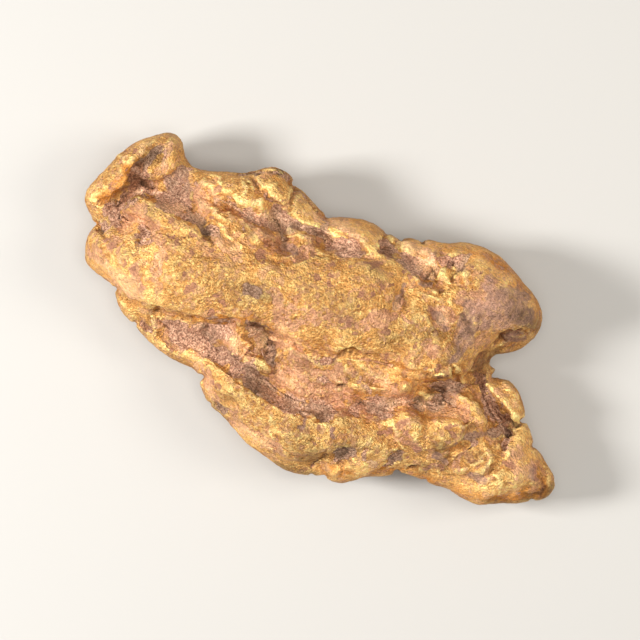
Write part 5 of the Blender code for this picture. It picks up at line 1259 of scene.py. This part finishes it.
def relief_normal(n, coats, grains):
    """Fine relief: beaten gold that stands above its film and stains, and gritty earth."""
    ripple = n.times(n.noise(0.24, 4, 0.7), n.ramp(n.noise(0.7, 2), 0.35, 0.65, 0.3, 1.0))
    beaten = n.bump(ripple, 0.095)
    bare = n.math("SUBTRACT", 1.0, n.most(coats["film"], coats["stain"]))
    standing = n.bump(bare, 0.022, beaten)
    fine = n.bump(n.noise(0.065, 2, 0.6), 0.085, standing)
    return n.bump(n.times(grains, coats["earth"]), 0.04, fine)


def gold_material():
    """Native gold under its coats of film and earth."""
    material, tree, surface = new_material("native_gold_worn")
    n = Nodes(tree)
    coats = frayed_coats(n)
    patches = n.noise(0.9, 3)
    flecks = n.noise(0.10, 4, 0.75)
    grains = n.noise(0.062, 2, 0.65)

    colour = with_films(n, clean_gold(n, coats, patches, flecks), coats, flecks)
    colour = n.mix(coats["earth"], colour, packed_earth(n, coats, grains))
    rust = n.mix(n.ramp(grains, 0.38, 0.62), tint("rust"), tint("pale rust"))
    colour = n.mix(n.times(coats["brown"], 0.8), colour, rust)
    # Painted shadow in cracks and pits, nearly black, and small dark specks scattered at random.
    colour = n.mix(coats["dark"], colour, tint("painted shadow and speck"))
    n.plug(surface.inputs["Base Color"], with_painted_light(n, colour, coats["painted_light_and_shade"]))

    dullness = {"plum": 0.8, "film": 0.4, "stain": 0.7, "brown": 0.7, "amber": 0.6}
    dulled = [n.times(coats[name], share) for name, share in dullness.items()]
    covered = n.most(coats["earth"], coats["dark"], *dulled)
    n.plug(surface.inputs["Metallic"], n.ramp(covered, 0, 1, 0.52, 0.0))
    gloss = n.ramp(patches, 0.35, 0.65, 0.36, 0.50)
    n.plug(surface.inputs["Roughness"], n.mix_number(covered, gloss, 0.85))
    n.plug(surface.inputs["Normal"], relief_normal(n, coats, grains))
    surface.inputs["Specular Tint"].default_value = tint("reflection")
    return material


def floor_material():
    material, tree, surface = new_material("pale_floor")
    surface.inputs["Base Color"].default_value = FLOOR_COLOUR
    surface.inputs["Roughness"].default_value = 0.7
    return material


def add_floor():
    bpy.ops.mesh.primitive_plane_add(size=FLOOR_SIDE * MM)
    floor = bpy.context.object
    floor.name = "floor"
    floor.data.materials.append(floor_material())


def add_light(name, where, size, power, colour):
    """A square lamp at a place in millimetres, aimed at the nugget."""
    data = bpy.data.lights.new(name, "AREA")
    data.size = size * MM
    data.energy = power
    data.color = colour
    lamp = bpy.data.objects.new(name, data)
    bpy.context.collection.objects.link(lamp)
    place = Vector(where) * MM
    lamp.location = place
    lamp.rotation_euler = (place - Vector(VIEW_CENTRE) * MM).to_track_quat("Z", "Y").to_euler()


def add_lights():
    """A key light from the left, a wide soft one above, a weak one from the right, and the studio."""
    add_light("key", (-56, -32, 56), 20, 0.091, (1.0, 0.985, 0.955))
    add_light("top", (6, 4, 110), 50, 0.054, (1.0, 0.98, 0.94))
    add_light("fill", (45, 30, 60), 30, 0.027, (1.0, 0.95, 0.86))
    world = bpy.data.worlds.new("studio")
    world.use_nodes = True
    background = world.node_tree.nodes["Background"]
    background.inputs["Color"].default_value = STUDIO_COLOUR
    background.inputs["Strength"].default_value = STUDIO_STRENGTH
    bpy.context.scene.world = world


def add_camera():
    data = bpy.data.cameras.new("camera")
    data.lens = LENS
    data.sensor_width = SENSOR
    data.clip_start = 0.001
    camera = bpy.data.objects.new("camera", data)
    bpy.context.collection.objects.link(camera)
    x, y, z = VIEW_CENTRE
    camera.location = Vector((x, y, z + FIELD * LENS / SENSOR)) * MM
    camera.rotation_euler = (0, 0, VIEW_TURN)
    bpy.context.scene.camera = camera
    bpy.context.scene.view_settings.view_transform = "Standard"


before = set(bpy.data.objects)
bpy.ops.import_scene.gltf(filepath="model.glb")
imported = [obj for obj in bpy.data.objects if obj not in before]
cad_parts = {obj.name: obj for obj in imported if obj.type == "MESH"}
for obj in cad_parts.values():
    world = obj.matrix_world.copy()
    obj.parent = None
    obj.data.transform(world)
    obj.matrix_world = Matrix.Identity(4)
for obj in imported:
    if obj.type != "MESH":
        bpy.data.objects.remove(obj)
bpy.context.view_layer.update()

nugget = fine_skin()
dress(nugget)
set_points(nugget.data, points_of(nugget.data) * MM)
nugget.data.shade_smooth()
nugget.data.materials.clear()
nugget.data.materials.append(gold_material())
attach(nugget, "root")
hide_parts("nugget")

add_floor()
add_lights()
add_camera()
